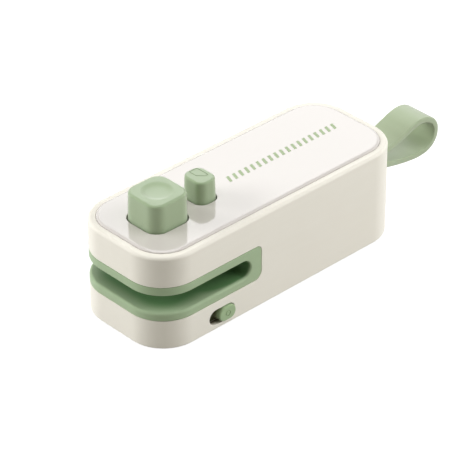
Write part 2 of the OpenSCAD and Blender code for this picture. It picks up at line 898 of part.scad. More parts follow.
module lock_knob() {
    plate_low_x = lock_x - lock_slot_length / 2 - plate_cover;
    plate_high_x = lock_x + lock_slot_length / 2 + lock_travel + plate_cover;
    fork_x = lever_size / 2 + pin_fit;
    color(sage) {
        translate([knob_x, plate_y, lock_level])
            rotate([90, 0, 0])
                soft_block(knob_length, knob_height, wall + slide_gap + knob_proud, knob_corner,
                    knob_edge);
        box([plate_low_x, plate_y, base_thickness + slide_gap],
            [plate_high_x, plate_in_y, lock_level + lock_slot_height / 2 + plate_cover]);
        for (side = [0, 1])
            translate([knob_x, 0, lever_z])
                mirror([side, 0, 0])
                    box([fork_x, plate_y, -fork_height / 2],
                        [fork_x + fork_wall, switch_y - slide_gap, fork_height / 2]);
    }
}

module switch_lever() {
    color(black)
        box([knob_x - lever_size / 2, plate_in_y + pin_fit, lever_z - lever_size / 2],
            [knob_x + lever_size / 2, lever_end_y, lever_z + lever_size / 2]);
}

module slide_switch() {
    slot_half = (lever_size + lock_travel) / 2 + slide_gap;
    slot_rise = lever_size / 2 + slide_gap;
    color(grey)
        difference() {
            box([lock_x - switch_length / 2, switch_y, board_z],
                [lock_x + switch_length / 2, switch_y + switch_depth, board_z + switch_height]);
            box([lock_x - slot_half, switch_y - past, lever_z - slot_rise],
                [lock_x + slot_half, lever_end_y + slide_gap, lever_z + slot_rise]);
        }
}

// Heater group

module heater_block() {
    half_x = heater_width / 2;
    half_y = heater_length / 2;
    color(resin_brown)
        translate([seal_x, 0, 0]) {
            box([-half_x, -half_y, block_low_z], [half_x, half_y, floor_z]);
            box([-half_x - shoulder, -half_y + shoulder, block_low_z],
                [half_x + shoulder, half_y - shoulder, liner_low_z]);
            box([-half_x, -half_y - terminal_ledge, block_low_z],
                [half_x, half_y + terminal_ledge, block_low_z + terminal_foot]);
        }
}

module heater_strip() {
    half_y = heater_length / 2 + strip_thickness;
    color(steel)
        translate([seal_x, 0, 0]) {
            box([-strip_width / 2, -half_y, floor_z], [strip_width / 2, half_y, floor_z + strip_thickness]);
            for (side = [0, 1])
                mirror([0, side, 0])
                    box([-strip_width / 2, heater_length / 2, floor_z - strip_leg],
                        [strip_width / 2, half_y, floor_z + strip_thickness]);
        }
}

// The tape lies on the block and steps up over the strip
module heater_tape() {
    half = heater_width / 2 - slide_gap;
    step = strip_width / 2 + tape_thickness;
    top_z = floor_z + heater_rise;
    color(amber)
        translate([seal_x, 0, 0])
            across(heater_length / 2)
                polygon([
                    [-half, floor_z],
                    [-strip_width / 2, floor_z],
                    [-strip_width / 2, floor_z + strip_thickness],
                    [strip_width / 2, floor_z + strip_thickness],
                    [strip_width / 2, floor_z],
                    [half, floor_z],
                    [half, floor_z + tape_thickness],
                    [step, floor_z + tape_thickness],
                    [step, top_z],
                    [-step, top_z],
                    [-step, floor_z + tape_thickness],
                    [-half, floor_z + tape_thickness]
                ]);
}

module heater_terminals() {
    low_y = heater_length / 2 + strip_thickness;
    low_z = block_low_z + terminal_foot;
    color(brass)
        for (side = [0, 1])
            mirror([0, side, 0])
                box([seal_x - terminal_width / 2, low_y, low_z],
                    [seal_x + terminal_width / 2, low_y + terminal_size, low_z + terminal_height]);
}

// Two leads from the heater's terminals down to the board
module heater_leads() {
    start_x = seal_x + terminal_width / 2;
    start_y = heater_length / 2 + strip_thickness + terminal_size / 2;
    start_z = block_low_z + terminal_foot + terminal_height / 2;
    end_x = board_notch_x + lead_setback;
    end_y = heater_length / 2 - lead_setback;
    route = [
        [start_x, start_y, start_z],
        [start_x + lead_bend + lead_diameter, start_y, start_z],
        [end_x, end_y, start_z],
        [end_x, end_y, board_z]
    ];
    color(wire_red)
        for (side = [0, 1])
            mirror([0, side, 0])
                swept_tube(bent_route(route), lead_diameter, lead_sides, [0, 1, 1]);
}

// Seal switch group

module seal_switch_board() {
    color(board_green)
        translate([switch_board_x, 0, liner_top_z])
            box([-switch_board_width / 2, -switch_board_length / 2, 0],
                [switch_board_width / 2, switch_board_length / 2, switch_board_thickness]);
}

module seal_switch() {
    low_z = liner_top_z + switch_board_thickness;
    color(grey)
        translate([switch_board_x, 0, 0]) {
            box([-seal_switch_body[0] / 2, -seal_switch_body[1] / 2, low_z],
                [seal_switch_body[0] / 2, seal_switch_body[1] / 2, low_z + seal_switch_body[2]]);
            post(0, 0, low_z, seal_switch_top_z, seal_switch_key);
        }
}

// Two thin leads over the liner and down behind it
module seal_switch_leads() {
    end_x = liner_rear_x + lead_setback;
    start_y = switch_board_length / 2;
    run_z = liner_top_z + thin_lead_diameter / 2 + seat_gap;
    mid_y = (turret_length / 2 + side_y - wall) / 2;
    color(wire_black)
        for (side = [-1, 1]) {
            lane_x = switch_board_x - side * thin_lead_pitch / 2;
            lane_y = mid_y + side * thin_lead_pitch / 2;
            route = [
                [lane_x, start_y, run_z],
                [lane_x, lane_y, run_z],
                [end_x, lane_y, run_z],
                [end_x, lane_y, board_z]
            ];
            swept_tube(bent_route(route), thin_lead_diameter, lead_sides, [1, -1, 1]);
        }
}

// Power group

module main_board() {
    color(board_green)
        difference() {
            translate([0, 0, board_low_z])
                linear_extrude(board_thickness)
                    polygon([
                        [board_front_x, -board_half],
                        [board_rear_x, -board_half],
                        [board_rear_x, -port_tongue_half],
                        [port_tongue_x, -port_tongue_half],
                        [port_tongue_x, port_tongue_half],
                        [board_rear_x, port_tongue_half],
                        [board_rear_x, board_half],
                        [board_notch_x, board_half],
                        [board_notch_x, board_tongue_y],
                        [board_front_x, board_tongue_y]
                    ]);
            for (x = board_screw_rows, sy = [-1, 1])
                post(x, sy * post_y, 0, board_z + past, board_screw_diameter + slide_gap);
        }
}

module board_screws() {
    color(steel)
        for (x = board_screw_rows, sy = [-1, 1]) {
            post(x, sy * post_y, board_z, board_z + board_screw_head_height, board_screw_head);
            post(x, sy * post_y, board_low_z - board_screw_depth, board_z, board_screw_diameter);
        }
}

// Charge controller, heater transistor, coil and capacitors on the board
module board_chips() {
    mid_x = (board_notch_x + board_rear_x) / 2;
    color(black) {
        chip(mid_x - chip_pitch, 0, controller_size);
        chip(mid_x, chip_offset, transistor_size);
        chip(mid_x + chip_pitch, -chip_offset, choke_size);
        chip(mid_x + 2 * chip_pitch, 0, capacitor_size);
        chip(mid_x + 2 * chip_pitch, chip_offset, capacitor_size);
    }
}

module chip(x, y, size) {
    box([x - size[0] / 2, y - size[1] / 2, board_z], [x + size[0] / 2, y + size[1] / 2, board_z + size[2]]);
}

module charge_port() {
    color(steel)
        translate([port_x - port_length, 0, port_z])
            rotate([90, 0, 90])
                difference() {
                    linear_extrude(port_length)
                        rounded_outline(port_width, port_height, port_radius);
                    translate([0, 0, port_back])
                        linear_extrude(port_length)
                            rounded_outline(port_width - 2 * port_wall, port_height - 2 * port_wall,
                                port_radius - port_wall);
                }
}

module charge_contacts() {
    low_x = port_x - port_length + port_back;
    color(black)
        box([low_x, -contact_width / 2, port_z - contact_thickness / 2],
            [low_x + contact_length, contact_width / 2, port_z + contact_thickness / 2]);
}

module battery() {
    color(foil)
        translate([battery_x, 0, battery_low_z])
            soft_block(battery_length, battery_width, battery_thickness, battery_corner,
                battery_edge, battery_edge);
}

module battery_tape() {
    color(black)
        translate([battery_x, 0, 0])
            rounded_prism(battery_length - 2 * battery_tape_inset, battery_width - 2 * battery_tape_inset,
                battery_tape_corner, panel_low_z - battery_tape_thickness, panel_low_z);
}

// Two leads from the battery's front end down to the board
module battery_leads() {
    start_x = battery_x - battery_length / 2;
    run_x = (liner_rear_x + start_x) / 2;
    start_z = battery_low_z + battery_thickness / 2;
    route = [
        [start_x, battery_lead_half, start_z],
        [run_x, battery_lead_half, start_z],
        [run_x, battery_lead_half, board_z]
    ];
    color(wire_red)
        for (side = [0, 1])
            mirror([0, side, 0])
                swept_tube(bent_route(route), lead_diameter, lead_sides, [0, 1, 0]);
}

// Wrist loop

function loop_share(t) = (1 - cos(t)) / 2;
function loop_swell(t) = sin(t) * pow(loop_share(t), loop_taper);
function loop_leg(t) = sign(180 - t) * band_thickness / 2 * (1 - loop_share(t));
loop_scale = (loop_line_half - loop_leg(loop_widest)) / loop_swell(loop_widest);
function loop_line(t) = [
    rear_x + loop_line_reach * loop_share(t),
    loop_level + loop_leg(t) + loop_scale * loop_swell(t)
];

// A point beside the loop's middle line, outwards for a positive distance
function loop_side(t, distance) =
    let (run = unit(loop_line(t + loop_probe) - loop_line(t - loop_probe)))
    loop_line(t) + distance * [-run[1], run[0]];

module loop_profile() {
    outside = [for (t = [360 - loop_start:-loop_step:loop_start]) loop_side(t, band_thickness / 2)];
    inside = [
        for (t = [360 - loop_start:-loop_step:loop_start])
            let (p = loop_side(t, -band_thickness / 2))
            if ((p[1] - loop_level) * sign(180 - t) > seat_gap || t == 180) p
    ];
    difference() {
        union() {
            polygon(outside);
            translate([eye_x, loop_level - neck_height / 2])
                square([outside[0][0] - eye_x + past, neck_height]);
            translate([eye_x, loop_level])
                circle(r = eye_radius);
        }
        polygon(inside);
        translate([eye_x, loop_level])
            circle(d = loop_pin_diameter + 2 * pin_fit);
    }
}

module wrist_loop() {
    color(dark_sage)
        across(band_width / 2)
            loop_profile();
}

module loop_pin() {
    color(steel)
        translate([eye_x, 0, loop_level])
            rotate([90, 0, 0])
                cylinder(h = 2 * loop_pin_half, d = loop_pin_diameter, center = true);
}

main_shell();
top_panel();
base_cover();
mouth_liner();
case_screws();
seal_button();
press_plunger();
press_pad();
seal_spring();
cutter_button();
blade_holder();
cutter_blade();
cutter_spring();
lock_knob();
switch_lever();
slide_switch();
heater_block();
heater_strip();
heater_tape();
heater_terminals();
heater_leads();
seal_switch_board();
seal_switch();
seal_switch_leads();
main_board();
board_screws();
board_chips();
charge_port();
charge_contacts();
battery();
battery_tape();
battery_leads();
wrist_loop();
loop_pin();
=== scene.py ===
import math

import bmesh
import bpy
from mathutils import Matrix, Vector


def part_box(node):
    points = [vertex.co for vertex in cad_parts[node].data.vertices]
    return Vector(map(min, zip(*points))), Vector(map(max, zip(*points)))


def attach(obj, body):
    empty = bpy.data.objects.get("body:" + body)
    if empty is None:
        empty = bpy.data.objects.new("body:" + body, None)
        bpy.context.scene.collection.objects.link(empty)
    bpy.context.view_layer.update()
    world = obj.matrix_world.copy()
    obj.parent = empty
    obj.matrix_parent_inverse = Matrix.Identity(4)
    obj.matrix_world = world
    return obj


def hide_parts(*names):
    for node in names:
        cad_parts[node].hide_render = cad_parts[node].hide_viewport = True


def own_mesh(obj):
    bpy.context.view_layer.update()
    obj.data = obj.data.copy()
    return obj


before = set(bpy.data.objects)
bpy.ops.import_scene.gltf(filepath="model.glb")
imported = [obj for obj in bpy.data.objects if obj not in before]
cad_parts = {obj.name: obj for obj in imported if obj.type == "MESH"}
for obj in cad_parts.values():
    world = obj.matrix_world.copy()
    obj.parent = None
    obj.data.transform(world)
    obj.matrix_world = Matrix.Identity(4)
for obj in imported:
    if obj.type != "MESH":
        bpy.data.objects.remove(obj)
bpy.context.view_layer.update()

MM = 0.001
NEAR = 0.02 * MM

# Body
BODY_LENGTH = 93 * MM
BODY_WIDTH = 36 * MM
BODY_TOP = 30 * MM
RIM_TOP = 29.65 * MM
FRONT_X = -BODY_LENGTH / 2
REAR_X = BODY_LENGTH / 2
SIDE_Y = BODY_WIDTH / 2
CORNER = 11.5 * MM
CORNER_STEPS = 22
TOP_EDGE = 1 * MM
BOTTOM_EDGE = 0.8 * MM
EDGE_STEPS = 8
WALL = 2 * MM
PAST = 3 * MM
EASED = 0.16 * MM
EASED_STEPS = 3
OVERLAP = PAST / 10
THROUGH = PAST / 3
STRAIGHT = 0.999
SHARP_ANGLE = math.radians(60)
SMOOTH_ANGLE = math.radians(38)
FACE_WEIGHT = 60

# Openings in the shell
BASE_TOP = 1.6 * MM
BASE_RIM = 1.2 * MM
PANEL_LOW = 28 * MM
PANEL_TOP = 30.15 * MM
LEDGE_LOW = 26.6 * MM
LEDGE_INSET = 3.6 * MM
PANEL_RIM = 2.2 * MM
LOCK_X = -24 * MM
LOCK_Z = 4.1 * MM
LOCK_LENGTH = 9.4 * MM
LOCK_HEIGHT = 4.8 * MM
LOCK_STEPS = 12
PORT_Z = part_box("charge_port")[0].z / 2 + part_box("charge_port")[1].z / 2
PORT_HOLE = (9.54 * MM, 3.76 * MM)
PORT_CORNER = 1.5 * MM
LOOP_Z = 15.4 * MM
LOOP_SLOT = (10.6 * MM, 5.63 * MM)
LOOP_SLOT_CORNER = 0.6 * MM
HOLE_STEPS = 8

# Posts and ears inside the shell
BOSS_X = 40.23 * MM
BOSS_Y = 11.73 * MM
BOSS_RADIUS = 2.5 * MM
BOSS_REAR_TOP = 9.6 * MM
SCREW_BORE = 1.025 * MM
SCREW_BORE_TOP = 7.6 * MM
EYE_X = 41.75 * MM
EAR_Y = 5.3 * MM
EAR_THICKNESS = 2 * MM
EAR_RADIUS = 3 * MM
PIN_RADIUS = 1 * MM
ROUND_SIDES = 40

# Gloss plate
PLATE_INSET = 2.25 * MM
PLATE_STEP_Z = 29.58 * MM
PLATE_STEP = 0.08 * MM
PLATE_EDGE = 0.85 * MM
PLATE_ROUND = 1.15 * MM
PLATE_EDGE_STEPS = 8
RIM_EDGE = 0.14 * MM
RIM_EDGE_STEPS = 4
GUIDE_WALL = 1.2 * MM
GUIDE_GAP = 1.2 * MM
OPENING_GAP = 0.35 * MM

# Mouth
LINING_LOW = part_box("mouth_liner")[0].z
LINING_TOP = 20 * MM
LINING_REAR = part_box("mouth_liner")[1].x
LINING_UPPER_CORNER = 1.8 * MM
LINING_UPPER_STEPS = 8
LINING_LOWER_CORNER = 2.6 * MM
LINING_LOWER_STEPS = 12
SLOT_FLOOR = 11.8 * MM
SLOT_CEILING = 17.4 * MM
SLOT_END = -13.3 * MM
SLOT_RADIUS = (SLOT_CEILING - SLOT_FLOOR) / 2
SLOT_MID = (SLOT_CEILING + SLOT_FLOOR) / 2
SLOT_STEPS = 14
SLOT_SLACK = NEAR / 4
UPPER_LIP = 0.35 * MM
LOWER_LIP = 0.8 * MM
LIP_STEPS = 8
LIP_BANDS = 16
SEAM_GAP = 0.1 * MM
# Painted shade in the bag slot: the depths over which the lining darkens, where along X it darkens faster,
# and how much faster
SLOT_SHADE = (0.1 * MM, 5.5 * MM)
SLOT_SHADE_END = (-30 * MM, -18 * MM)
SLOT_END_HASTE = 3
# Painted shade in the walls: the depths over which they darken, and the heights that keep it off the
# underside and the rim
WALL_SHADE = (0.25 * MM, 1.7 * MM)
UNDERSIDE = (0.7 * MM, 1.4 * MM)
UPPER_WALL = (27 * MM, 25 * MM)
TURRET_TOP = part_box("mouth_liner")[1].z
TURRET_HALF = (4.45 * MM, 9.45 * MM)
TURRET_ROOF = 1 * MM
FOOT_HALF = (3.25 * MM, 8.25 * MM)
STEM_HOLE = 2.6 * MM
HEATER_HALF = (3.2 * MM, 10 * MM)
SLIT_HALF = (0.5 * MM, 2.1 * MM)

# Buttons
SEAL_X = -30.85 * MM
SEAL_SIZE = 13.6 * MM
SEAL_CORNER = 3.8 * MM
SEAL_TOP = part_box("seal_button")[1].z
SEAL_DRAFT = 0.15 * MM
SEAL_RIM = 0.8 * MM
SEAL_WALL = 1.6 * MM
SEAL_ROOF = 2.4 * MM
SEAL_INNER = SEAL_TOP - SEAL_ROOF
SEAL_TRAVEL = 5.2 * MM
STEM_BOSS = 3.3 * MM
STEM_BORE = 2.525 * MM
STEM_BOSS_DEPTH = 4.6 * MM
CUTTER_X = -15.4 * MM
CUTTER_LENGTH = 7 * MM
CUTTER_WIDTH = 8.4 * MM
CUTTER_CORNER = 2.6 * MM
CUTTER_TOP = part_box("cutter_button")[1].z
CUTTER_DRAFT = 0.2 * MM
CUTTER_RIM = 0.6 * MM
CUTTER_WALL = 0.8 * MM
CUTTER_ROOF = 1.5 * MM
CUTTER_INNER = CUTTER_TOP - CUTTER_ROOF
CUTTER_TRAVEL = 6.2 * MM
FLANGE_LOW = 26.8 * MM
FLANGE_TOP = 27.95 * MM
FLANGE_WIDTH = 1 * MM
BUTTON_STEPS = 14
CAP_CORNER_STEPS = 10
CAP_SIDE_CUTS = 7
CAP_RIM_STEPS = 6

# Finger dish: radius and depth of its rings, from the soft edge to the middle
DISH_BORDER = 4 * NEAR
DISH_START = 4.75 * MM
DISH_RINGS = (
    (4.5 * MM, 0.015 * MM),
    (4.25 * MM, 0.06 * MM),
    (4 * MM, 0.125 * MM),
    (3.75 * MM, 0.2 * MM),
    (3.5 * MM, 0.275 * MM),
    (3.2 * MM, 0.35 * MM),
    (2.8 * MM, 0.42 * MM),
    (2.3 * MM, 0.475 * MM),
    (1.7 * MM, 0.515 * MM),
    (1 * MM, 0.545 * MM),
    (0.4 * MM, 0.555 * MM),
)

# Lock knob
KNOB_X = -22.5 * MM
KNOB_LENGTH = 6 * MM
KNOB_HEIGHT = 4.4 * MM
KNOB_OUT = -18.7 * MM
KNOB_IN = -15.8 * MM
KNOB_CORNER = 2.15 * MM
KNOB_STEPS = 10
KNOB_RIM = 0.35 * MM
KNOB_RIM_STEPS = 5
SLIDE_IN = -15 * MM
SLIDE_LOW = 1.8 * MM
SLIDE_TOP = 7 * MM
SLIDE_FRONT = -29.2 * MM
SLIDE_REAR = -15.8 * MM
FORK_NEAR = 0.75 * MM
FORK_FAR = 1.65 * MM
FORK_END = -13.8 * MM
FORK_HALF = 0.8 * MM
LEVER_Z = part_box("switch_lever")[0].z / 2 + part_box("switch_lever")[1].z / 2

# Wrist strap: the middle line of the band in X and Z, in millimetres, from the pin round the tip and back
BAND_WIDTH = 10 * MM
BAND_THICKNESS = 1.8 * MM
BAND_EDGE = 0.34 * MM
BAND_STEPS = 3
LINE_STEPS = 10
BAND_LINE = (
    (42.6, 16.2), (46.5, 16.24), (50.2, 16.72), (54, 17.4), (57.8, 18.3), (61.4, 19.6),
    (65, 20.85), (68.4, 21.25), (71.3, 20.35), (73.5, 18.3), (74.2, 15.6), (73.4, 12.9),
    (71.1, 11.0), (67.8, 10.3), (63.6, 10.55), (58.6, 11.35), (54, 12.4), (50.2, 13.4),
    (46.5, 14.46), (42.6, 14.6),
)
EYE_RADIUS = 2.45 * MM

# Springs and wires; a wire's route is given in millimetres
COIL_STEPS = 24
COIL_SIDES = 10
SEAL_WIRE = 0.6 * MM
SEAL_COIL = 8.2 * MM
SEAL_TURNS = 7
CUTTER_WIRE = 0.3 * MM
CUTTER_COIL = 4.9 * MM
CUTTER_TURNS = 11
SEAT_GAP = 0.05 * MM
LEAD_BEND = 1.4 * MM
LEAD_BEND_STEPS = 6
LEAD = 1.2 * MM
THIN_LEAD = 0.9 * MM
LEAD_ROUNDNESS = 3
HEATER_ROUTE = ((-29.35, 9.9, 7.7), (-26.75, 9.9, 7.7), (-21.35, 7.5, 7.7), (-21.35, 7.5, 3.6))
BATTERY_ROUTE = ((-6.3, 3, 22.2), (-7.8, 3, 22.2), (-7.8, 3, 3.6))
INNER_SWITCH_ROUTE = (
    (-36.25, 4, 20.5), (-36.25, 12.075, 20.5), (-7.8, 12.075, 20.5), (-7.8, 12.075, 3.6),
)
OUTER_SWITCH_ROUTE = (
    (-37.55, 4, 20.5), (-37.55, 13.375, 20.5), (-7.8, 13.375, 20.5), (-7.8, 13.375, 3.6),
)

# Marks
STROKE_COUNT = 19
STROKE_PITCH = 2.25 * MM
STROKE_WIDTH = 0.95 * MM
STROKE_HEIGHT = 2.7 * MM
STROKE_LEAN = 0.9 * MM
STROKE_CORNER = STROKE_WIDTH / 5
STROKE_CORNER_STEPS = 4
STROKE_START = -4.2 * MM
STROKE_Y = 0.7 * MM
PRINT_THICKNESS = 0.03 * MM
BLADE_MARK_LOW = (-16.5 * MM, -1.5 * MM)
BLADE_MARK_HIGH = (-13.4 * MM, 3.3 * MM)
BLADE_MARK_SLOPE = 1.9 * MM
MARK_LINE = 0.3 * MM
MARK_DEPTH = 0.12 * MM
RING_MARK = 0.95 * MM

# Camera and stage
PHOTO_SIDE = 470
AZIMUTH = math.radians(-43.48)
ELEVATION = math.radians(33.319)
DISTANCE = 747.495 * MM
FOCUS_PIXELS = 2682.851
AXIS_PIXEL = (240.908, 220.891)
SENSOR = 36
CLIP_END = 20
CAMERA_AIM = Vector((0, 0, BODY_TOP / 2))
WHITE = (1, 1, 1, 1)
AMBIENT = 0.16
AMBIENT_COLOUR = (1, 0.92, 0.72, 1)
FLOOR_SIDE = 8
FLOOR_LIGHT = (150, 150, 150)
FLOOR_DEEP = (147, 147, 147)
FLOOR_GLOW = 0.84
FLOOR_BOUNCE = (0.43, 0.42, 0.39, 1)

# Lamps: name, azimuth and elevation in degrees, distance, width, height, watts, whether gloss mirrors it
LAMP_COLOUR = (0.975, 0.99, 1)
LAMPS = (
    ("back_box", 46.5, 37, 1, 0.56, 0.5, 1.02, True),
    ("top_box", 226.5, 86, 1.4, 1.25, 1.25, 8.3, True),
    ("front_box", 132, 20, 0.9, 0.7, 0.28, 7.7, False),
    ("side_box", 319, 20, 0.9, 0.7, 0.28, 4.7, False),
    ("side_high_box", 319, 42, 0.9, 0.7, 0.5, 1.8, False),
    ("right_box", 278, 22, 0.9, 0.6, 0.5, 0.4, False),
)

# Noises of the finishes: size, detail and roughness
CLOUD = (22 * MM, 3, 0.55)
FLOW = (1.6 * MM, 2, 0.5)
SPECK = (0.5 * MM, 1, 0.5)
PLATE_CLOUD = (30 * MM, 3, 0.5)
RIPPLE = (3.4 * MM, 1, 0.4)
HAIRLINE = (0.35 * MM, 3, 0.7)
DRAWN_LINE = (0.12 * MM, 3, 0.6)
STAIN = (2.5 * MM, 4, 0.6)
BOARD_CLOUD = (3 * MM, 2, 0.5)
BURN = (2 * MM, 3, 0.6)
FIBRE = (6 * MM, 3, 0.6)
GRAIN_DETAIL = (2, 0.6)

# Shares and depths in the finishes
FLOW_STRETCH = (0.12, 1, 1)
CLOUD_SHARE = 0.7
FLOW_SHARE = 0.3
SPECK_LIMITS = (0.7, 0.78)
SPECK_SHARE = 0.18
GRAIN_HEIGHT = 0.8
FLOW_HEIGHT = 0.2
MOULDED_SPREAD = 0.06
HAIRLINE_STRETCH = (0.05, 1, 1)
HAIRLINE_LIMITS = (0.66, 0.74)
PLATE_ROUGHNESS = 0.1
PLATE_SPREAD = 0.05
RIPPLE_DEPTH = 0.012 * MM
COAT_IOR = 1.65
COAT_ROUGHNESS = 0.04
STAIN_SHARE = 0.6
DRAWN_SHARE = 0.4
DRAWN_SPREAD = 0.14
STAIN_SPREAD = 0.06
DRAWN_DEPTH = 0.006 * MM
TRACK_SIZE = 3 * MM
TRACK_GAP = 0.05
TRACK_SHARE = 0.35
MASK_DEEPER = 0.75
BOARD_ROUGHNESS = 0.28
BOARD_SPREAD = 0.1
THREAD_SIZE = 1.9 * MM
THREAD_WANDER = 0.4
WEAVE_SHARE = 0.6
BURN_SHARE = 0.4
TAPE_ROUGHNESS = 0.42
TAPE_SPREAD = 0.1
RELIEF_DEPTH = 0.02 * MM


# Picking and shaping


def only(piece):
    """Makes a piece the one that operators act on."""
    bpy.ops.object.select_all(action="DESELECT")
    piece.select_set(True)
    bpy.context.view_layer.objects.active = piece


def open_mesh(piece):
    only(piece)
    bpy.ops.object.mode_set(mode="EDIT")


def close_mesh():
    bpy.ops.object.mode_set(mode="OBJECT")


def pick(piece, kind, test):
    """Selects the corners, edges or faces of an open mesh that pass a test."""
    bpy.ops.mesh.select_mode(type=kind)
    bpy.ops.mesh.select_all(action="DESELECT")
    mesh = bmesh.from_edit_mesh(piece.data)
    items = {"VERT": mesh.verts, "EDGE": mesh.edges, "FACE": mesh.faces}[kind]
    for item in items:
        if test(item):
            item.select_set(True)
    mesh.select_flush_mode()
    bmesh.update_edit_mesh(piece.data)


def along(axis):
    """A test for edges that run along an axis."""

    def test(edge):
        run = edge.verts[1].co - edge.verts[0].co
        return abs(run[axis]) > STRAIGHT * run.length

    return test


def level(axis, place):
    """A test for edges and faces that lie at one place on an axis."""
    return lambda item: all(abs(corner.co[axis] - place) < NEAR for corner in item.verts)


def both(first, second):
    return lambda item: first(item) and second(item)


def new_stock(name):
    piece = bpy.context.active_object
    piece.name = name
    piece.data.name = name
    return piece


def stock(name, low, high):
    """A plain block between two corners, the start of a piece or a cutter."""
    low = Vector(low)
    high = Vector(high)
    bpy.ops.object.select_all(action="DESELECT")
    bpy.ops.mesh.primitive_cube_add(size=1, location=(low + high) / 2)
    piece = new_stock(name)
    piece.scale = high - low
    bpy.ops.object.transform_apply(location=True, rotation=True, scale=True)
    return piece


def rod(name, start, end, radius):
    """A plain round bar from one point to another, the start of a piece or a cutter."""
    start = Vector(start)
    end = Vector(end)
    turn = (end - start).to_track_quat("Z", "Y").to_euler()
    bpy.ops.object.select_all(action="DESELECT")
    bpy.ops.mesh.primitive_cylinder_add(
        vertices=ROUND_SIDES, radius=radius, depth=(end - start).length,
        location=(start + end) / 2, rotation=turn,
    )
    piece = new_stock(name)
    bpy.ops.object.transform_apply(location=True, rotation=True, scale=True)
    return piece


def round_edges(piece, test, radius, steps):
    open_mesh(piece)
    pick(piece, "EDGE", test)
    bpy.ops.mesh.bevel(offset=radius, segments=steps, profile=0.5, affect="EDGES", clamp_overlap=False)
    close_mesh()


def rounded_stock(name, low, high, axis, radius, steps):
    """A block whose four edges along an axis are round."""
    piece = stock(name, low, high)
    round_edges(piece, along(axis), radius, steps)
    return piece


def body_stock(name, inset, low_z, high_z):
    """A block that follows the body's outline at a distance inside it."""
    low = (FRONT_X + inset, -SIDE_Y + inset, low_z)
    high = (REAR_X - inset, SIDE_Y - inset, high_z)
    return rounded_stock(name, low, high, 2, CORNER - inset, CORNER_STEPS)


def apply_modifier(piece, kind, **settings):
    only(piece)
    modifier = piece.modifiers.new(kind.lower(), kind)
    for key, value in settings.items():
        setattr(modifier, key, value)
    bpy.ops.object.modifier_apply(modifier=modifier.name)


def carve(piece, tool, operation="DIFFERENCE"):
    """Cuts a tool out of a piece, adds it to the piece, or keeps what the two share."""
    apply_modifier(piece, "BOOLEAN", operation=operation, object=tool, solver="EXACT")
    bpy.data.objects.remove(tool)


def sharp(edge):
    """Whether two faces meet at a clear angle along an edge."""
    return edge.calc_face_angle(0) > SHARP_ANGLE


def smooth(piece):
    only(piece)
    bpy.ops.object.shade_smooth_by_angle(angle=SMOOTH_ANGLE)
    apply_modifier(piece, "WEIGHTED_NORMAL", mode="FACE_AREA", keep_sharp=True, weight=FACE_WEIGHT)


def tidy_normals(piece):
    open_mesh(piece)
    bpy.ops.mesh.select_all(action="SELECT")
    bpy.ops.mesh.normals_make_consistent(inside=False)
    close_mesh()


def join(piece, other):
    """Joins another piece into the first one."""
    only(piece)
    other.select_set(True)
    bpy.ops.object.join()


def lift(value):
    """Extrudes what is selected by a distance along Z."""
    bpy.ops.mesh.extrude_region_move(TRANSFORM_OT_translate={"value": (0, 0, value)})


# Shader graphs


class Signal:
    """A number that changes over a surface. Arithmetic on it adds Math nodes to its finish."""

    def __init__(self, finish, socket):
        self.finish = finish
        self.socket = socket

    def maths(self, operation, first, second):
        return self.finish.node("ShaderNodeMath", {"operation": operation}, {0: first, 1: second})

    def __add__(self, other):
        return self.maths("ADD", self, other)

    def __radd__(self, other):
        return self.maths("ADD", other, self)

    def __sub__(self, other):
        return self.maths("SUBTRACT", self, other)

    def __rsub__(self, other):
        return self.maths("SUBTRACT", other, self)

    def __mul__(self, other):
        return self.maths("MULTIPLY", self, other)

    def __rmul__(self, other):
        return self.maths("MULTIPLY", other, self)

    def __pow__(self, other):
        return self.maths("POWER", self, other)

    def __gt__(self, other):
        return self.maths("GREATER_THAN", self, other)


class Finish:
    """The nodes of a material or of the world."""

    def __init__(self, owner):
        owner.use_nodes = True
        self.owner = owner
        self.tree = owner.node_tree
        self.tree.nodes.clear()

    def node(self, kind, settings=None, sockets=None, output=0):
        """Adds a node: its settings first, then the values or links of its sockets."""
        node = self.tree.nodes.new(kind)
        for key, value in (settings or {}).items():
            setattr(node, key, value)
        for key, value in (sockets or {}).items():
            if isinstance(value, Signal):
                self.tree.links.new(value.socket, node.inputs[key])
            else:
                node.inputs[key].default_value = value
        return Signal(self, node.outputs[output])

    def place(self):
        return self.node("ShaderNodeTexCoord", output="Object")

    def stretched(self, scale):
        sockets = {"Vector": self.place(), "Scale": scale}
        return self.node("ShaderNodeMapping", {"vector_type": "POINT"}, sockets)

    def noise(self, vector, size, detail, rough):
        """Noise with features of about a size in metres."""
        sockets = {"Vector": vector, "Scale": 1 / size, "Detail": detail, "Roughness": rough}
        return self.node("ShaderNodeTexNoise", {"noise_dimensions": "3D"}, sockets)

    def band(self, signal, low, high):
        """Turns a range of a signal into 0 to 1."""
        sockets = {"Value": signal, "From Min": low, "From Max": high}
        return self.node("ShaderNodeMapRange", {"interpolation_type": "SMOOTHSTEP"}, sockets)

    def past(self, signal, place):
        """How far a signal lies past a place, 0 before it."""
        return self.node("ShaderNodeMath", {"operation": "MAXIMUM"}, {0: signal - place, 1: 0})

    def mix(self, factor, first, second):
        return self.node("ShaderNodeMix", {"data_type": "RGBA"}, {0: factor, 6: first, 7: second}, 2)

    def bump(self, height, depth):
        return self.node("ShaderNodeBump", None, {"Height": height, "Distance": depth, "Strength": 1})

    def surface(self, **sockets):
        """Ends the graph in a surface whose sockets are named in lower case."""
        named = {}
        for key, value in sockets.items():
            named[key.replace("_", " ").title().replace("Ior", "IOR")] = value
        self.end(self.node("ShaderNodeBsdfPrincipled", None, named))
        return self.owner

    def end(self, shader, kind="ShaderNodeOutputMaterial"):
        out = self.tree.nodes.new(kind)
        self.tree.links.new(shader.socket, out.inputs["Surface"])


def new_finish(name):
    return Finish(bpy.data.materials.new(name))


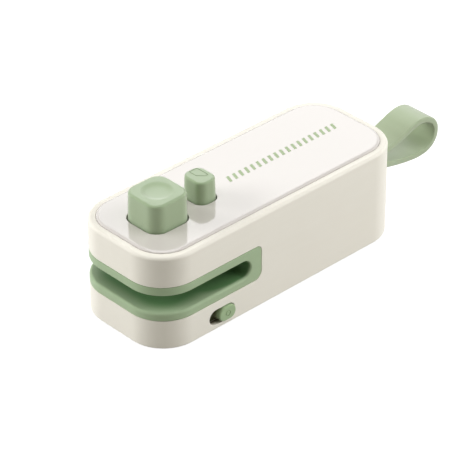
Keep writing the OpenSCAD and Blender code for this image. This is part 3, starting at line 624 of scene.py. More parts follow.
def ink(red, green, blue):
    """A colour given as it looks on a screen, as the linear colour that shaders use."""
    parts = [channel / 255 for channel in (red, green, blue)]
    return (*[c / 12.92 if c <= 0.04045 else ((c + 0.055) / 1.055) ** 2.4 for c in parts], 1)


def body_depth(f, place):
    """The X and Z of a place, and its depth inside the body's outline."""
    x, y, z = [f.node("ShaderNodeSeparateXYZ", None, {0: place}, axis) for axis in ("X", "Y", "Z")]
    past_x = f.past(f.node("ShaderNodeMath", {"operation": "ABSOLUTE"}, {0: x}), REAR_X - CORNER)
    past_y = f.past(f.node("ShaderNodeMath", {"operation": "ABSOLUTE"}, {0: y}), SIDE_Y - CORNER)
    return x, z, CORNER - (past_x * past_x + past_y * past_y) ** 0.5


def wall_shade(f, place):
    """Painted shade in the walls: rises from 0 on the body's outside to 1 within the thickness of its
    walls, kept off the underside and the top of the walls.
    """
    _, z, depth = body_depth(f, place)
    return f.band(depth, *WALL_SHADE) * f.band(z, *UNDERSIDE) * f.band(z, *UPPER_WALL)


def slot_shade(f, place):
    """Painted shade in the bag slot: rises from 0 on the mouth's lips to 1 inside the slot, faster towards
    the slot's end.
    """
    x, _, depth = body_depth(f, place)
    return f.band(depth * (1 + SLOT_END_HASTE * f.band(x, *SLOT_SHADE_END)), *SLOT_SHADE)


def moulded(name, light, deep, roughness, grain_size, grain_depth, painted_shade=None, **uniform):
    """Moulded plastic or silicone: soft clouds, faint flow lines, a fine spark grain and tiny specks.

    Where it is given, painted_shade holds the colour of the painted shade inside the body's openings and
    the function that masks where it is painted.
    """
    f = new_finish(name)
    place = f.place()
    cloud = f.noise(place, *CLOUD)
    flow = f.noise(f.stretched(FLOW_STRETCH), *FLOW)
    grain = f.noise(place, grain_size, *GRAIN_DETAIL)
    speck = f.band(f.noise(place, *SPECK), *SPECK_LIMITS)
    tone = f.mix(cloud * CLOUD_SHARE + flow * FLOW_SHARE, light, deep)
    tone = f.mix(speck * SPECK_SHARE, tone, deep)
    # Painted shade: a darker colour mixed in where the mask finds the surface inside an opening
    if painted_shade:
        colour, shade = painted_shade
        tone = f.mix(shade(f, place), tone, colour)
    rough = roughness - MOULDED_SPREAD + flow * MOULDED_SPREAD + grain * MOULDED_SPREAD
    height = grain * GRAIN_HEIGHT + flow * FLOW_HEIGHT
    return f.surface(base_color=tone, roughness=rough, normal=f.bump(height, grain_depth), **uniform)


def glossy(name, light, deep):
    """Polished moulded plastic: a very faint ripple, and hairlines that only dull the gloss."""
    f = new_finish(name)
    place = f.place()
    cloud = f.noise(place, *PLATE_CLOUD)
    ripple = f.noise(place, *RIPPLE)
    hair = f.band(f.noise(f.stretched(HAIRLINE_STRETCH), *HAIRLINE), *HAIRLINE_LIMITS)
    tone = f.mix(cloud, light, deep)
    rough = PLATE_ROUGHNESS + cloud * PLATE_SPREAD + hair * PLATE_SPREAD
    return f.surface(
        base_color=tone, roughness=rough, normal=f.bump(ripple, RIPPLE_DEPTH),
        coat_weight=1, coat_ior=COAT_IOR, coat_roughness=COAT_ROUGHNESS,
    )


def metal(name, light, deep, roughness, grain):
    """Drawn metal: fine lines along its length, small stains and a worn grain."""
    f = new_finish(name)
    lines = f.noise(f.stretched(grain), *DRAWN_LINE)
    stain = f.noise(f.place(), *STAIN)
    tone = f.mix(stain * STAIN_SHARE + lines * DRAWN_SHARE, light, deep)
    rough = roughness + lines * DRAWN_SPREAD + stain * STAIN_SPREAD
    return f.surface(base_color=tone, roughness=rough, metallic=1, normal=f.bump(lines, DRAWN_DEPTH))


def board_finish(name, mask, copper):
    """A circuit board: solder mask over faint tracks."""
    f = new_finish(name)
    place = f.place()
    sockets = {"Vector": place, "Scale": 1 / TRACK_SIZE, "Mortar Size": TRACK_GAP}
    tracks = f.node("ShaderNodeTexBrick", {"offset": 0.5}, sockets, "Fac")
    cloud = f.noise(place, *BOARD_CLOUD)
    deeper = (*[MASK_DEEPER * channel for channel in mask[:3]], 1)
    tone = f.mix(tracks * TRACK_SHARE, f.mix(cloud, mask, deeper), copper)
    rough = BOARD_ROUGHNESS + cloud * BOARD_SPREAD
    return f.surface(base_color=tone, roughness=rough, normal=f.bump(tracks, RELIEF_DEPTH))


def woven(name, light, deep):
    """Coated glass cloth: a fine weave under a smooth film."""
    f = new_finish(name)
    place = f.place()
    sockets = {"Vector": place, "Scale": 1 / THREAD_SIZE, "Distortion": THREAD_WANDER}
    warp, weft = [f.node("ShaderNodeTexWave", {"bands_direction": way}, sockets) for way in ("X", "Y")]
    weave = warp * 0.5 + weft * 0.5
    burn = f.noise(place, *BURN)
    tone = f.mix(weave * WEAVE_SHARE + burn * BURN_SHARE, light, deep)
    rough = TAPE_ROUGHNESS - weave * TAPE_SPREAD
    return f.surface(base_color=tone, roughness=rough, normal=f.bump(weave, RELIEF_DEPTH))


# Camera, floor and light


def make_camera():
    reach = math.cos(ELEVATION)
    back = Vector((math.sin(AZIMUTH) * reach, -math.cos(AZIMUTH) * reach, math.sin(ELEVATION)))
    turn = back.to_track_quat("Z", "Y").to_euler()
    bpy.ops.object.select_all(action="DESELECT")
    bpy.ops.object.camera_add(location=CAMERA_AIM + DISTANCE * back, rotation=turn)
    camera = bpy.context.active_object
    camera.name = "photo_camera"
    camera.data.sensor_width = SENSOR
    camera.data.lens = FOCUS_PIXELS * SENSOR / PHOTO_SIDE
    camera.data.shift_x = (PHOTO_SIDE / 2 - AXIS_PIXEL[0]) / PHOTO_SIDE
    camera.data.shift_y = (AXIS_PIXEL[1] - PHOTO_SIDE / 2) / PHOTO_SIDE
    camera.data.clip_end = CLIP_END
    bpy.context.scene.camera = camera


def seen_directly(f):
    """1 for rays from the camera, from gloss and through glass, 0 for the light on the object."""
    kinds = ("Is Camera Ray", "Is Glossy Ray", "Is Transmission Ray")
    camera, gloss, glass = [f.node("ShaderNodeLightPath", output=kind) for kind in kinds]
    return camera + gloss + glass > 0.5


def make_world():
    world = bpy.data.worlds.new("studio")
    bpy.context.scene.world = world
    f = Finish(world)
    room = f.node("ShaderNodeBackground", None, {"Color": AMBIENT_COLOUR, "Strength": AMBIENT})
    white = f.node("ShaderNodeBackground", None, {"Color": WHITE, "Strength": 1})
    shown = f.node("ShaderNodeMixShader", None, {0: seen_directly(f), 1: room, 2: white})
    f.end(shown, "ShaderNodeOutputWorld")


def make_floor():
    bpy.ops.object.select_all(action="DESELECT")
    bpy.ops.mesh.primitive_plane_add(size=FLOOR_SIDE, location=(0, 0, 0))
    floor = new_stock("studio_floor")
    f = new_finish("floor_paper")
    paper = f.mix(f.noise(f.place(), *FIBRE), ink(*FLOOR_LIGHT), ink(*FLOOR_DEEP))
    matt = f.node("ShaderNodeBsdfDiffuse", None, {"Color": paper})
    glow = f.node("ShaderNodeEmission", None, {"Color": WHITE, "Strength": FLOOR_GLOW})
    lit = f.node("ShaderNodeAddShader", None, {0: matt, 1: glow})
    bounce = f.node("ShaderNodeBsdfDiffuse", None, {"Color": FLOOR_BOUNCE})
    f.end(f.node("ShaderNodeMixShader", None, {0: seen_directly(f), 1: bounce, 2: lit}))
    floor.data.materials.append(f.owner)


def soft_box(name, azimuth, elevation, distance, width, height, power, mirrored):
    """A large soft lamp that looks at the object, and shows in its gloss if it is mirrored."""
    a = math.radians(azimuth)
    e = math.radians(elevation)
    towards = Vector((math.cos(a) * math.cos(e), math.sin(a) * math.cos(e), math.sin(e)))
    turn = towards.to_track_quat("Z", "Y").to_euler()
    bpy.ops.object.select_all(action="DESELECT")
    bpy.ops.object.light_add(type="AREA", location=CAMERA_AIM + distance * towards, rotation=turn)
    lamp = bpy.context.active_object
    lamp.name = name
    lamp.data.shape = "RECTANGLE"
    lamp.data.size = width
    lamp.data.size_y = height
    lamp.data.energy = power
    lamp.data.color = LAMP_COLOUR
    lamp.visible_camera = False
    lamp.visible_glossy = mirrored


# Places on the body


def on_outline(place, inset):
    """Whether a place lies on the body's outline, or at a distance inside it."""
    x = max(abs(place.x) - REAR_X + CORNER, 0)
    y = max(abs(place.y) - SIDE_Y + CORNER, 0)
    return abs(math.hypot(x, y) - CORNER + inset) < NEAR


def on_slot_outline(corner):
    """Whether a mesh corner lies on the bag slot's wall."""
    x = max(corner.co.x - SLOT_END + SLOT_RADIUS, 0)
    return abs(math.hypot(x, corner.co.z - SLOT_MID) - SLOT_RADIUS) < NEAR


def on_rim(edge):
    """Whether an edge lies on the outline of the panel's recess."""
    return all(on_outline(corner.co, PANEL_RIM) for corner in edge.verts)


def on_outside(edge):
    """Whether an edge lies on the body's outer wall."""
    return all(on_outline(corner.co, 0) for corner in edge.verts)


def middle_z(edge):
    return (edge.verts[0].co.z + edge.verts[1].co.z) / 2


def on_lip(edge):
    """Whether an edge lies on the bag slot's outer edge, rather than across from side to side."""
    first, second = edge.verts
    across = abs(first.co.y - second.co.y) > 2 * SIDE_Y - NEAR
    return not across and on_outside(edge) and all(on_slot_outline(corner) for corner in edge.verts)


# Pieces


def make_shell():
    shell = body_stock("case_shell", 0, 0, RIM_TOP)
    round_edges(shell, level(2, RIM_TOP), TOP_EDGE, EDGE_STEPS)
    round_edges(shell, level(2, 0), BOTTOM_EDGE, EDGE_STEPS)
    carve(shell, body_stock("tool", BASE_RIM, -PAST, BASE_TOP))
    carve(shell, body_stock("tool", WALL, BASE_TOP - OVERLAP, LEDGE_LOW))
    carve(shell, body_stock("tool", LEDGE_INSET, LEDGE_LOW - OVERLAP, PANEL_LOW + OVERLAP))
    carve(shell, body_stock("tool", PANEL_RIM, PANEL_LOW, BODY_TOP + PAST))
    round_edges(shell, both(level(2, RIM_TOP), on_rim), RIM_EDGE, RIM_EDGE_STEPS)
    for side_y in (-1, 1):
        for side_x in (-1, 1):
            foot = (side_x * BOSS_X, side_y * BOSS_Y, BASE_TOP)
            top = LINING_LOW if side_x < 0 else BOSS_REAR_TOP
            carve(shell, rod("tool", foot, (foot[0], foot[1], top), BOSS_RADIUS), "UNION")
            bore = (foot[0], foot[1], BASE_TOP - PAST)
            carve(shell, rod("tool", bore, (foot[0], foot[1], SCREW_BORE_TOP), SCREW_BORE))
        near_y = side_y * EAR_Y
        far_y = side_y * (EAR_Y + EAR_THICKNESS)
        ear = rod("tool", (EYE_X, near_y, LOOP_Z), (EYE_X, far_y, LOOP_Z), EAR_RADIUS)
        low = (EYE_X, min(near_y, far_y), LOOP_Z - EAR_RADIUS)
        high = (REAR_X - WALL / 2, max(near_y, far_y), LOOP_Z + EAR_RADIUS)
        carve(ear, stock("tool", low, high), "UNION")
        carve(ear, rod("tool", (EYE_X, near_y - PAST, LOOP_Z), (EYE_X, near_y + PAST, LOOP_Z), PIN_RADIUS))
        carve(shell, ear, "UNION")
    carve(shell, mouth_tool(SEAM_GAP))
    low = (LOCK_X - LOCK_LENGTH / 2, -SIDE_Y - PAST, LOCK_Z - LOCK_HEIGHT / 2)
    high = (LOCK_X + LOCK_LENGTH / 2, -SIDE_Y + WALL + THROUGH, LOCK_Z + LOCK_HEIGHT / 2)
    carve(shell, rounded_stock("tool", low, high, 1, LOCK_HEIGHT / 2 - NEAR, LOCK_STEPS))
    holes = ((*PORT_HOLE, PORT_Z, PORT_CORNER), (*LOOP_SLOT, LOOP_Z, LOOP_SLOT_CORNER))
    for width, height, z, corner in holes:
        low = (REAR_X - WALL - THROUGH, -width / 2, z - height / 2)
        high = (REAR_X + PAST, width / 2, z + height / 2)
        carve(shell, rounded_stock("tool", low, high, 0, corner, HOLE_STEPS))
    round_edges(shell, both(sharp, on_outside), EASED, EASED_STEPS)
    round_edges(shell, both(sharp, level(2, 0)), EASED, EASED_STEPS)
    smooth(shell)
    return shell


def mouth_tool(grow):
    """The opening that the lining fills, right across the body."""
    low = (FRONT_X - PAST, -SIDE_Y - PAST, LINING_LOW - grow)
    high = (LINING_REAR + grow, SIDE_Y + PAST, LINING_TOP + grow)
    tool = stock("tool", low, high)
    rear = both(along(1), level(0, high[0]))
    round_edges(tool, both(rear, level(2, high[2])), LINING_UPPER_CORNER + grow, LINING_UPPER_STEPS)
    round_edges(tool, both(rear, level(2, low[2])), LINING_LOWER_CORNER + grow, LINING_LOWER_STEPS)
    return tool


def square_tool(x, half, low_z, high_z):
    return stock("tool", (x - half[0], -half[1], low_z), (x + half[0], half[1], high_z))


def button_tool(x, length, width, corner, grow, low_z, high_z):
    """A block with a button's outline, grown all round."""
    low = (x - length / 2 - grow, -width / 2 - grow, low_z)
    high = (x + length / 2 + grow, width / 2 + grow, high_z)
    return rounded_stock("tool", low, high, 2, corner + grow, BUTTON_STEPS)


def plate_drop(step):
    """How far the plate's rounded edge lies below its top, at a step from the outside."""
    reach = PLATE_EDGE * (1 - step / PLATE_EDGE_STEPS)
    return PLATE_ROUND - math.sqrt(PLATE_ROUND ** 2 - reach ** 2)


def make_plate():
    plate = body_stock("gloss_plate", PLATE_INSET, PANEL_LOW, PLATE_STEP_Z)
    open_mesh(plate)
    pick(plate, "FACE", level(2, PLATE_STEP_Z))
    bpy.ops.mesh.inset(thickness=PLATE_STEP)
    lift(PANEL_TOP - plate_drop(0) - PLATE_STEP_Z)
    for step in range(PLATE_EDGE_STEPS):
        bpy.ops.mesh.inset(thickness=PLATE_EDGE / PLATE_EDGE_STEPS)
        bpy.ops.transform.translate(value=(0, 0, plate_drop(step) - plate_drop(step + 1)))
    close_mesh()
    buttons = (
        (SEAL_X, SEAL_SIZE, SEAL_SIZE, SEAL_CORNER, FLANGE_LOW - SEAL_TRAVEL),
        (CUTTER_X, CUTTER_LENGTH, CUTTER_WIDTH, CUTTER_CORNER, FLANGE_LOW - CUTTER_TRAVEL),
    )
    for x, length, width, corner, low_z in buttons:
        grow = GUIDE_GAP + GUIDE_WALL
        carve(plate, button_tool(x, length, width, corner, grow, low_z, PANEL_LOW + OVERLAP), "UNION")
    for x, length, width, corner, low_z in buttons:
        carve(plate, button_tool(x, length, width, corner, GUIDE_GAP, low_z - PAST, PANEL_LOW))
        opening = button_tool(x, length, width, corner, OPENING_GAP, PANEL_LOW - OVERLAP, BODY_TOP + PAST)
        carve(plate, opening)
    round_edges(plate, both(sharp, level(2, PANEL_TOP)), EASED, EASED_STEPS)
    smooth(plate)
    return plate


def roll_lips(lining):
    """Rounds the slot's outer edge: a full lip below, a tighter one above, and a run between them."""
    open_mesh(lining)
    step = (SLOT_CEILING - SLOT_FLOOR) / LIP_BANDS
    for band in range(LIP_BANDS):
        low = SLOT_FLOOR + band * step - NEAR
        high = SLOT_FLOOR + (band + 1) * step + NEAR
        share = band / (LIP_BANDS - 1)
        pick(lining, "EDGE", lambda edge: on_lip(edge) and low < middle_z(edge) < high)
        bpy.ops.transform.edge_bevelweight(value=-1)
        bpy.ops.transform.edge_bevelweight(value=1 + share * (UPPER_LIP / LOWER_LIP - 1))
    close_mesh()
    apply_modifier(
        lining, "BEVEL", width=LOWER_LIP, segments=LIP_STEPS, limit_method="WEIGHT",
        use_clamp_overlap=False,
    )


def make_lining():
    lining = body_stock("mouth_lining", 0, LINING_LOW, LINING_TOP)
    carve(lining, mouth_tool(0), "INTERSECT")
    low = (FRONT_X - PAST, -SIDE_Y - PAST, SLOT_FLOOR)
    slot = stock("tool", low, (SLOT_END, SIDE_Y + PAST, SLOT_CEILING))
    round_edges(slot, both(along(1), level(0, SLOT_END)), SLOT_RADIUS - SLOT_SLACK, SLOT_STEPS)
    carve(lining, slot)
    carve(lining, square_tool(SEAL_X, TURRET_HALF, LINING_TOP - OVERLAP, TURRET_TOP), "UNION")
    carve(lining, square_tool(SEAL_X, FOOT_HALF, SLOT_MID, TURRET_TOP - TURRET_ROOF))
    carve(lining, rod("tool", (SEAL_X, 0, SLOT_MID), (SEAL_X, 0, TURRET_TOP + PAST), STEM_HOLE))
    carve(lining, square_tool(SEAL_X, HEATER_HALF, LINING_LOW - PAST, SLOT_MID))
    carve(lining, square_tool(CUTTER_X, SLIT_HALF, LINING_LOW - PAST, LINING_TOP + PAST))
    roll_lips(lining)
    round_edges(lining, both(sharp, on_outside), EASED, EASED_STEPS)
    smooth(lining)
    return lining


def cap_stock(name, x, length, width, corner, top_z, draft, rim, wall, inner_z):
    """A hollow button with a flange, drafted sides and a rounded top edge."""
    bpy.ops.object.select_all(action="DESELECT")
    bpy.ops.mesh.primitive_plane_add(size=1, location=(x, 0, FLANGE_LOW))
    cap = new_stock(name)
    cap.scale = (length + 2 * FLANGE_WIDTH, width + 2 * FLANGE_WIDTH, 1)
    bpy.ops.object.transform_apply(location=True, rotation=True, scale=True)
    open_mesh(cap)
    bpy.ops.mesh.select_all(action="SELECT")
    bpy.ops.mesh.bevel(
        offset=corner + FLANGE_WIDTH, segments=CAP_CORNER_STEPS, affect="VERTICES", clamp_overlap=False
    )
    pick(cap, "EDGE", lambda edge: edge.calc_length() > corner / 2)
    bpy.ops.mesh.subdivide(number_cuts=CAP_SIDE_CUTS)
    pick(cap, "FACE", lambda face: True)
    lift(FLANGE_TOP - FLANGE_LOW)
    bpy.ops.mesh.inset(thickness=FLANGE_WIDTH)
    lift(BODY_TOP - FLANGE_TOP)
    lift(top_z - BODY_TOP)
    shrink = (1 - 2 * draft / length, 1 - 2 * draft / width, 1)
    bpy.ops.transform.resize(value=shrink, center_override=(x, 0, top_z))
    pick(cap, "FACE", level(2, FLANGE_LOW))
    bpy.ops.mesh.inset(thickness=FLANGE_WIDTH + wall)
    lift(inner_z - FLANGE_LOW)
    close_mesh()
    tidy_normals(cap)
    round_edges(cap, level(2, top_z), rim, CAP_RIM_STEPS)
    return cap


def make_seal_cap():
    cap = cap_stock(
        "seal_cap", SEAL_X, SEAL_SIZE, SEAL_SIZE, SEAL_CORNER, SEAL_TOP, SEAL_DRAFT, SEAL_RIM, SEAL_WALL,
        SEAL_INNER,
    )
    middle = Vector((SEAL_X, 0, SEAL_TOP))
    open_mesh(cap)
    pick(cap, "FACE", level(2, SEAL_TOP))
    bpy.ops.mesh.inset(thickness=DISH_BORDER)
    bpy.ops.transform.tosphere(value=1)
    picked = [corner.co for corner in bmesh.from_edit_mesh(cap.data).verts if corner.select]
    reach = sum((place - middle).length for place in picked) / len(picked)
    bpy.ops.transform.resize(value=(DISH_START / reach, DISH_START / reach, 1), center_override=middle)
    radius, depth = DISH_START, 0
    for ring_radius, ring_depth in DISH_RINGS:
        bpy.ops.mesh.inset(thickness=radius - ring_radius)
        bpy.ops.transform.translate(value=(0, 0, depth - ring_depth))
        radius, depth = ring_radius, ring_depth
    close_mesh()
    boss_low = SEAL_INNER - STEM_BOSS_DEPTH
    boss = rod("tool", (SEAL_X, 0, boss_low), (SEAL_X, 0, SEAL_INNER + NEAR), STEM_BOSS)
    carve(boss, rod("tool", (SEAL_X, 0, boss_low - STEM_BOSS_DEPTH), (SEAL_X, 0, SEAL_INNER), STEM_BORE))
    join(cap, boss)
    smooth(cap)
    return cap


def make_cutter_cap():
    cap = cap_stock(
        "cutter_cap", CUTTER_X, CUTTER_LENGTH, CUTTER_WIDTH, CUTTER_CORNER, CUTTER_TOP, CUTTER_DRAFT,
        CUTTER_RIM, CUTTER_WALL, CUTTER_INNER,
    )
    carve(cap, blade_mark_tool())
    smooth(cap)
    return cap


def blade_mark_tool():
    """The outline of a plain blade, to be cut shallowly into the cutter cap."""
    low = Vector((*BLADE_MARK_LOW, CUTTER_TOP - MARK_DEPTH))
    high = Vector((*BLADE_MARK_HIGH, CUTTER_TOP - MARK_DEPTH))
    bpy.ops.object.select_all(action="DESELECT")
    bpy.ops.mesh.primitive_plane_add(size=1, location=(low + high) / 2)
    tool = new_stock("tool")
    tool.scale = (high.x - low.x, high.y - low.y, 1)
    bpy.ops.object.transform_apply(location=True, rotation=True, scale=True)
    open_mesh(tool)
    pick(tool, "VERT", lambda corner: (corner.co - low).length < NEAR)
    bpy.ops.mesh.bevel(offset=BLADE_MARK_SLOPE, segments=1, affect="VERTICES")
    pick(tool, "FACE", lambda face: True)
    bpy.ops.mesh.inset(thickness=MARK_LINE)
    bpy.ops.mesh.delete(type="FACE")
    pick(tool, "FACE", lambda face: True)
    lift(PAST)
    close_mesh()
    tidy_normals(tool)
    return tool


def ring_mark_tool():
    """A small ring, to be cut shallowly into the knob's face."""
    middle = Vector((KNOB_X, KNOB_OUT, LOCK_Z))
    out = Vector((0, -1, 0))
    tool = rod("tool", middle - MARK_DEPTH * out, middle + PAST * out, RING_MARK)
    carve(tool, rod("tool", middle - PAST * out, middle + 2 * PAST * out, RING_MARK - MARK_LINE))
    return tool


def make_knob():
    low = (KNOB_X - KNOB_LENGTH / 2, KNOB_OUT, LOCK_Z - KNOB_HEIGHT / 2)
    high = (KNOB_X + KNOB_LENGTH / 2, (KNOB_IN + SLIDE_IN) / 2, LOCK_Z + KNOB_HEIGHT / 2)
    knob = rounded_stock("slide_knob", low, high, 1, KNOB_CORNER, KNOB_STEPS)
    round_edges(knob, level(1, KNOB_OUT), KNOB_RIM, KNOB_RIM_STEPS)
    carve(knob, ring_mark_tool())
    slide = stock("tool", (SLIDE_FRONT, KNOB_IN, SLIDE_LOW), (SLIDE_REAR, SLIDE_IN, SLIDE_TOP))
    carve(knob, slide, "UNION")
    for near, far in ((-FORK_FAR, -FORK_NEAR), (FORK_NEAR, FORK_FAR)):
        low = (KNOB_X + near, (KNOB_IN + SLIDE_IN) / 2, LEVER_Z - FORK_HALF)
        carve(knob, stock("tool", low, (KNOB_X + far, FORK_END, LEVER_Z + FORK_HALF)), "UNION")
    smooth(knob)
    return knob


def as_mesh(name, curve):
    """Turns a curve into a piece."""
    piece = bpy.data.objects.new(name, curve)
    bpy.context.scene.collection.objects.link(piece)
    only(piece)
    bpy.ops.object.convert(target="MESH")
    return bpy.context.active_object


def drawn_line(name, points):
    """A smooth line through points, as a mesh of edges."""
    curve = bpy.data.curves.new(name, "CURVE")
    curve.dimensions = "3D"
    curve.resolution_u = LINE_STEPS
    spline = curve.splines.new("BEZIER")
    spline.bezier_points.add(len(points) - 1)
    for node, place in zip(spline.bezier_points, points):
        node.co = place
        node.handle_left_type = "AUTO"
        node.handle_right_type = "AUTO"
    return as_mesh(name, curve)


def make_strap():
    points = [(x * MM, -BAND_WIDTH / 2, z * MM) for x, z in BAND_LINE]
    band = drawn_line("strap", points)
    open_mesh(band)
    bpy.ops.mesh.select_all(action="SELECT")
    bpy.ops.mesh.extrude_region_move(TRANSFORM_OT_translate={"value": (0, BAND_WIDTH, 0)})
    close_mesh()
    tidy_normals(band)
    apply_modifier(band, "SOLIDIFY", thickness=BAND_THICKNESS, offset=0, use_even_offset=True)
    apply_modifier(
        band, "BEVEL", width=BAND_EDGE, segments=BAND_STEPS, limit_method="ANGLE", angle_limit=SHARP_ANGLE,
        use_clamp_overlap=False,
    )
    half = BAND_WIDTH / 2
    eye = rod("tool", (EYE_X, -half, LOOP_Z), (EYE_X, half, LOOP_Z), EYE_RADIUS)
    carve(eye, rod("tool", (EYE_X, -2 * half, LOOP_Z), (EYE_X, 2 * half, LOOP_Z), PIN_RADIUS))
    join(band, eye)
    smooth(band)
    return band


def make_coil(name, x, wire, diameter, low_z, high_z, turns):
    bpy.ops.object.select_all(action="DESELECT")
    bpy.ops.mesh.primitive_circle_add(
        vertices=COIL_SIDES, radius=wire / 2, location=(diameter / 2, 0, wire / 2),
        rotation=(math.radians(90), 0, 0),
    )
    coil = new_stock(name)
    bpy.ops.object.transform_apply(location=True, rotation=True, scale=True)
    pitch = (high_z - low_z - wire) / turns
    apply_modifier(
        coil, "SCREW", axis="Z", angle=math.radians(360), screw_offset=pitch, iterations=turns,
        steps=COIL_STEPS, render_steps=COIL_STEPS,
    )
    open_mesh(coil)
    bpy.ops.mesh.select_all(action="SELECT")
    bpy.ops.mesh.fill_holes(sides=0)
    bpy.ops.transform.translate(value=(x, 0, low_z))
    close_mesh()
    tidy_normals(coil)
    smooth(coil)
    return coil


def bent_route(points):
    """A wire's route with its corners rounded, from points in millimetres."""
    points = [MM * Vector(point) for point in points]
    route = [points[0]]
    for before, corner, after in zip(points, points[1:], points[2:]):
        reach = min(LEAD_BEND, (before - corner).length / 2, (after - corner).length / 2)
        start = corner + reach * (before - corner).normalized()
        end = corner + reach * (after - corner).normalized()
        for step in range(LEAD_BEND_STEPS + 1):
            t = step / LEAD_BEND_STEPS
            route.append((1 - t) ** 2 * start + 2 * t * (1 - t) * corner + t * t * end)
    return route + [points[-1]]


def make_wire(name, points, diameter):
    curve = bpy.data.curves.new(name, "CURVE")
    curve.dimensions = "3D"
    curve.bevel_depth = diameter / 2
    curve.bevel_resolution = LEAD_ROUNDNESS
    curve.use_fill_caps = True
    route = bent_route(points)
    spline = curve.splines.new("POLY")
    spline.points.add(len(route) - 1)
    for node, place in zip(spline.points, route):
        node.co = (*place, 1)
    wire = as_mesh(name, curve)
    open_mesh(wire)
    bpy.ops.mesh.select_all(action="SELECT")
    bpy.ops.mesh.remove_doubles(threshold=NEAR)
    close_mesh()
    return wire


def make_wire_pair(name, points, diameter):
    """A wire and its twin on the other side of the middle."""
    pair = make_wire(name, points, diameter)
    apply_modifier(pair, "MIRROR", use_axis=(False, True, False))
    tidy_normals(pair)
    smooth(pair)
    return pair


def make_switch_wires():
    wires = make_wire("switch_wires", INNER_SWITCH_ROUTE, THIN_LEAD)
    join(wires, make_wire("tool", OUTER_SWITCH_ROUTE, THIN_LEAD))
    smooth(wires)
    return wires


def make_print():
    """A row of slanted strokes, like the ribs of a sealed seam."""
    low = (STROKE_START - STROKE_WIDTH / 2, STROKE_Y - STROKE_HEIGHT / 2, PANEL_TOP)
    high = (STROKE_START + STROKE_WIDTH / 2, STROKE_Y + STROKE_HEIGHT / 2, PANEL_TOP + PRINT_THICKNESS)
    mark = stock("seam_print", low, high)
    open_mesh(mark)
    pick(mark, "VERT", lambda corner: corner.co.y > STROKE_Y)
    bpy.ops.transform.translate(value=(STROKE_LEAN, 0, 0))
    close_mesh()
    round_edges(mark, along(2), STROKE_CORNER, STROKE_CORNER_STEPS)
    apply_modifier(
        mark, "ARRAY", count=STROKE_COUNT, use_relative_offset=False, use_constant_offset=True,
        constant_offset_displace=(STROKE_PITCH, 0, 0),
    )
    smooth(mark)
    return mark


def hand_over(piece, material, body, slot, *nodes):
    """Gives a piece its finish, the body it moves with and the nodes it stands for."""
    piece.data.materials.clear()
    piece.data.materials.append(material)
    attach(piece, body)
    if nodes:
        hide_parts(*nodes)


def paint(material, *nodes):
    """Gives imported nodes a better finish."""
    for name in nodes:
        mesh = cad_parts[name].data
        mesh.materials.clear()
        mesh.materials.append(material)


make_camera()
make_world()
make_floor()
for lamp in LAMPS:
    soft_box(*lamp)

# Finishes: light and deep colour, roughness, the size and depth of the grain or the run of the lines, and
# for some a painted shade colour with the mask that says where
cream = moulded("cream_plastic", ink(240, 236, 227), ink(234, 229, 218), 0.42, 0.16 * MM, 0.006 * MM)
plate_white = glossy("plate_white", ink(210, 204, 200), ink(206, 200, 195))
sage = moulded(
    "sage_plastic", ink(154, 173, 137), ink(146, 165, 129), 0.36, 0.15 * MM, 0.004 * MM,
    specular_ior_level=0.5, sheen_weight=0.55,
)
sage_soft = moulded(
    "sage_silicone", ink(167, 181, 150), ink(157, 171, 138), 0.42, 0.12 * MM, 0.008 * MM,
    specular_ior_level=0.35, sheen_weight=0.5,
)
# The lining darkens inside the bag slot towards its end: painted shade
sage_lining_painted_shade = moulded(
    "sage_lining_painted_shade", ink(167, 187, 153), ink(159, 179, 145), 0.46, 0.15 * MM, 0.004 * MM,
    (ink(97, 136, 90), slot_shade), specular_ior_level=0.3,
)
# The knob's slide plate darkens behind the lock slot: painted shade
sage_knob_painted_shade = moulded(
    "sage_knob_painted_shade", ink(155, 180, 136), ink(147, 172, 128), 0.36, 0.15 * MM, 0.004 * MM,
    (ink(84, 88, 52), wall_shade), specular_ior_level=0.4, sheen_weight=0.3,
)
# The shell darkens within its walls, as in the lock slot: painted shade
cream_shell_painted_shade = moulded(
    "cream_shell_painted_shade", ink(240, 236, 227), ink(234, 229, 218), 0.42, 0.16 * MM, 0.006 * MM,
    (ink(120, 110, 90), wall_shade),
)
print_green = moulded("print_green", ink(166, 184, 146), ink(156, 174, 135), 0.5, 0.1 * MM, 0.004 * MM)
black = moulded("black_nylon", ink(40, 40, 42), ink(30, 30, 32), 0.45, 0.14 * MM, 0.006 * MM)
white_nylon = moulded("white_nylon", ink(226, 226, 222), ink(214, 214, 209), 0.45, 0.14 * MM, 0.006 * MM)
pad_grey = moulded(
    "pad_silicone", ink(150, 152, 150), ink(138, 140, 137), 0.62, 0.12 * MM, 0.01 * MM, sheen_weight=0.15
)
resin = moulded("heater_resin", ink(98, 70, 48), ink(84, 58, 39), 0.55, 0.2 * MM, 0.012 * MM)
red_skin = moulded("red_skin", ink(186, 56, 48), ink(168, 44, 38), 0.45, 0.1 * MM, 0.003 * MM)
black_skin = moulded("black_skin", ink(44, 44, 46), ink(34, 34, 36), 0.45, 0.1 * MM, 0.003 * MM)
foam = moulded("foam_tape", ink(52, 52, 52), ink(40, 40, 40), 0.8, 0.3 * MM, 0.04 * MM)
steel = metal("plated_steel", ink(206, 207, 210), ink(190, 191, 195), 0.24, (1, 0.08, 1))
spring_steel = metal("spring_steel", ink(196, 198, 202), ink(176, 178, 183), 0.2, (1, 1, 0.2))
alloy = metal("heater_alloy", ink(186, 180, 172), ink(160, 150, 140), 0.3, (1, 0.06, 1))
brass = metal("brass_plate", ink(220, 186, 110), ink(200, 164, 88), 0.25, (0.1, 1, 1))
cell_foil = metal("cell_foil", ink(204, 208, 214), ink(190, 194, 200), 0.34, (0.1, 1, 1))
tape = woven("glass_tape", ink(178, 148, 104), ink(158, 126, 82))
board = board_finish("board_green", ink(30, 110, 70), ink(96, 140, 80))

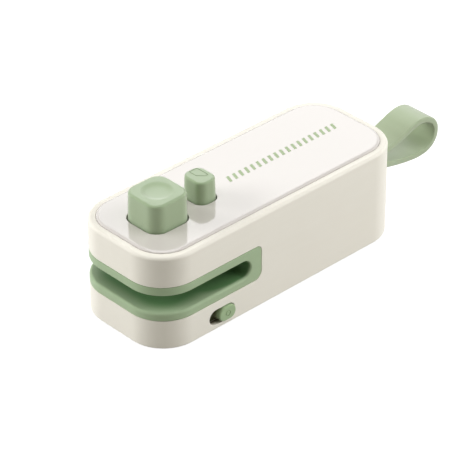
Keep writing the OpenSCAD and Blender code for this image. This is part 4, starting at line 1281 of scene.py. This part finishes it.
hand_over(make_shell(), cream_shell_painted_shade, "housing", "shell_cream", "main_shell")
hand_over(make_plate(), plate_white, "housing", "panel_gloss", "top_panel")
hand_over(make_lining(), sage_lining_painted_shade, "housing", "sage_plastic", "mouth_liner")
hand_over(make_seal_cap(), sage, "seal_press_group", "sage_plastic", "seal_button")
hand_over(make_cutter_cap(), sage, "cutter_group", "sage_plastic", "cutter_button")
hand_over(make_knob(), sage_knob_painted_shade, "lock_group", "sage_plastic", "lock_knob")
hand_over(make_strap(), sage_soft, "loop_group", "sage_silicone", "wrist_loop")
hand_over(make_print(), print_green, "housing", "sage_plastic")
heater_wires = make_wire_pair("heater_wires", HEATER_ROUTE, LEAD)
battery_wires = make_wire_pair("battery_wires", BATTERY_ROUTE, LEAD)
hand_over(heater_wires, red_skin, "housing", "red_wire", "heater_leads")
hand_over(battery_wires, red_skin, "housing", "red_wire", "battery_leads")
hand_over(make_switch_wires(), black_skin, "housing", "black_wire", "seal_switch_leads")

seal_coil = make_coil(
    "seal_coil", SEAL_X, SEAL_WIRE, SEAL_COIL, TURRET_TOP + SEAT_GAP, SEAL_INNER - SEAT_GAP, SEAL_TURNS
)
cutter_coil = make_coil(
    "cutter_coil", CUTTER_X, CUTTER_WIRE, CUTTER_COIL, LINING_TOP + SEAT_GAP, CUTTER_INNER - SEAT_GAP,
    CUTTER_TURNS,
)
hand_over(seal_coil, spring_steel, "housing", "spring_steel", "seal_spring")
hand_over(cutter_coil, spring_steel, "housing", "spring_steel", "cutter_spring")
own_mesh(seal_coil)
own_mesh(cutter_coil)

paint(cream, "base_cover")
paint(steel, "case_screws", "board_screws", "charge_port", "loop_pin", "cutter_blade")
paint(black, "press_plunger", "switch_lever", "board_chips", "charge_contacts")
paint(white_nylon, "blade_holder", "slide_switch", "seal_switch")
paint(pad_grey, "press_pad")
paint(resin, "heater_block")
paint(alloy, "heater_strip")
paint(tape, "heater_tape")
paint(brass, "heater_terminals")
paint(board, "main_board", "seal_switch_board")
paint(cell_foil, "battery")
paint(foam, "battery_tape")

bpy.context.scene.view_settings.view_transform = "Standard"
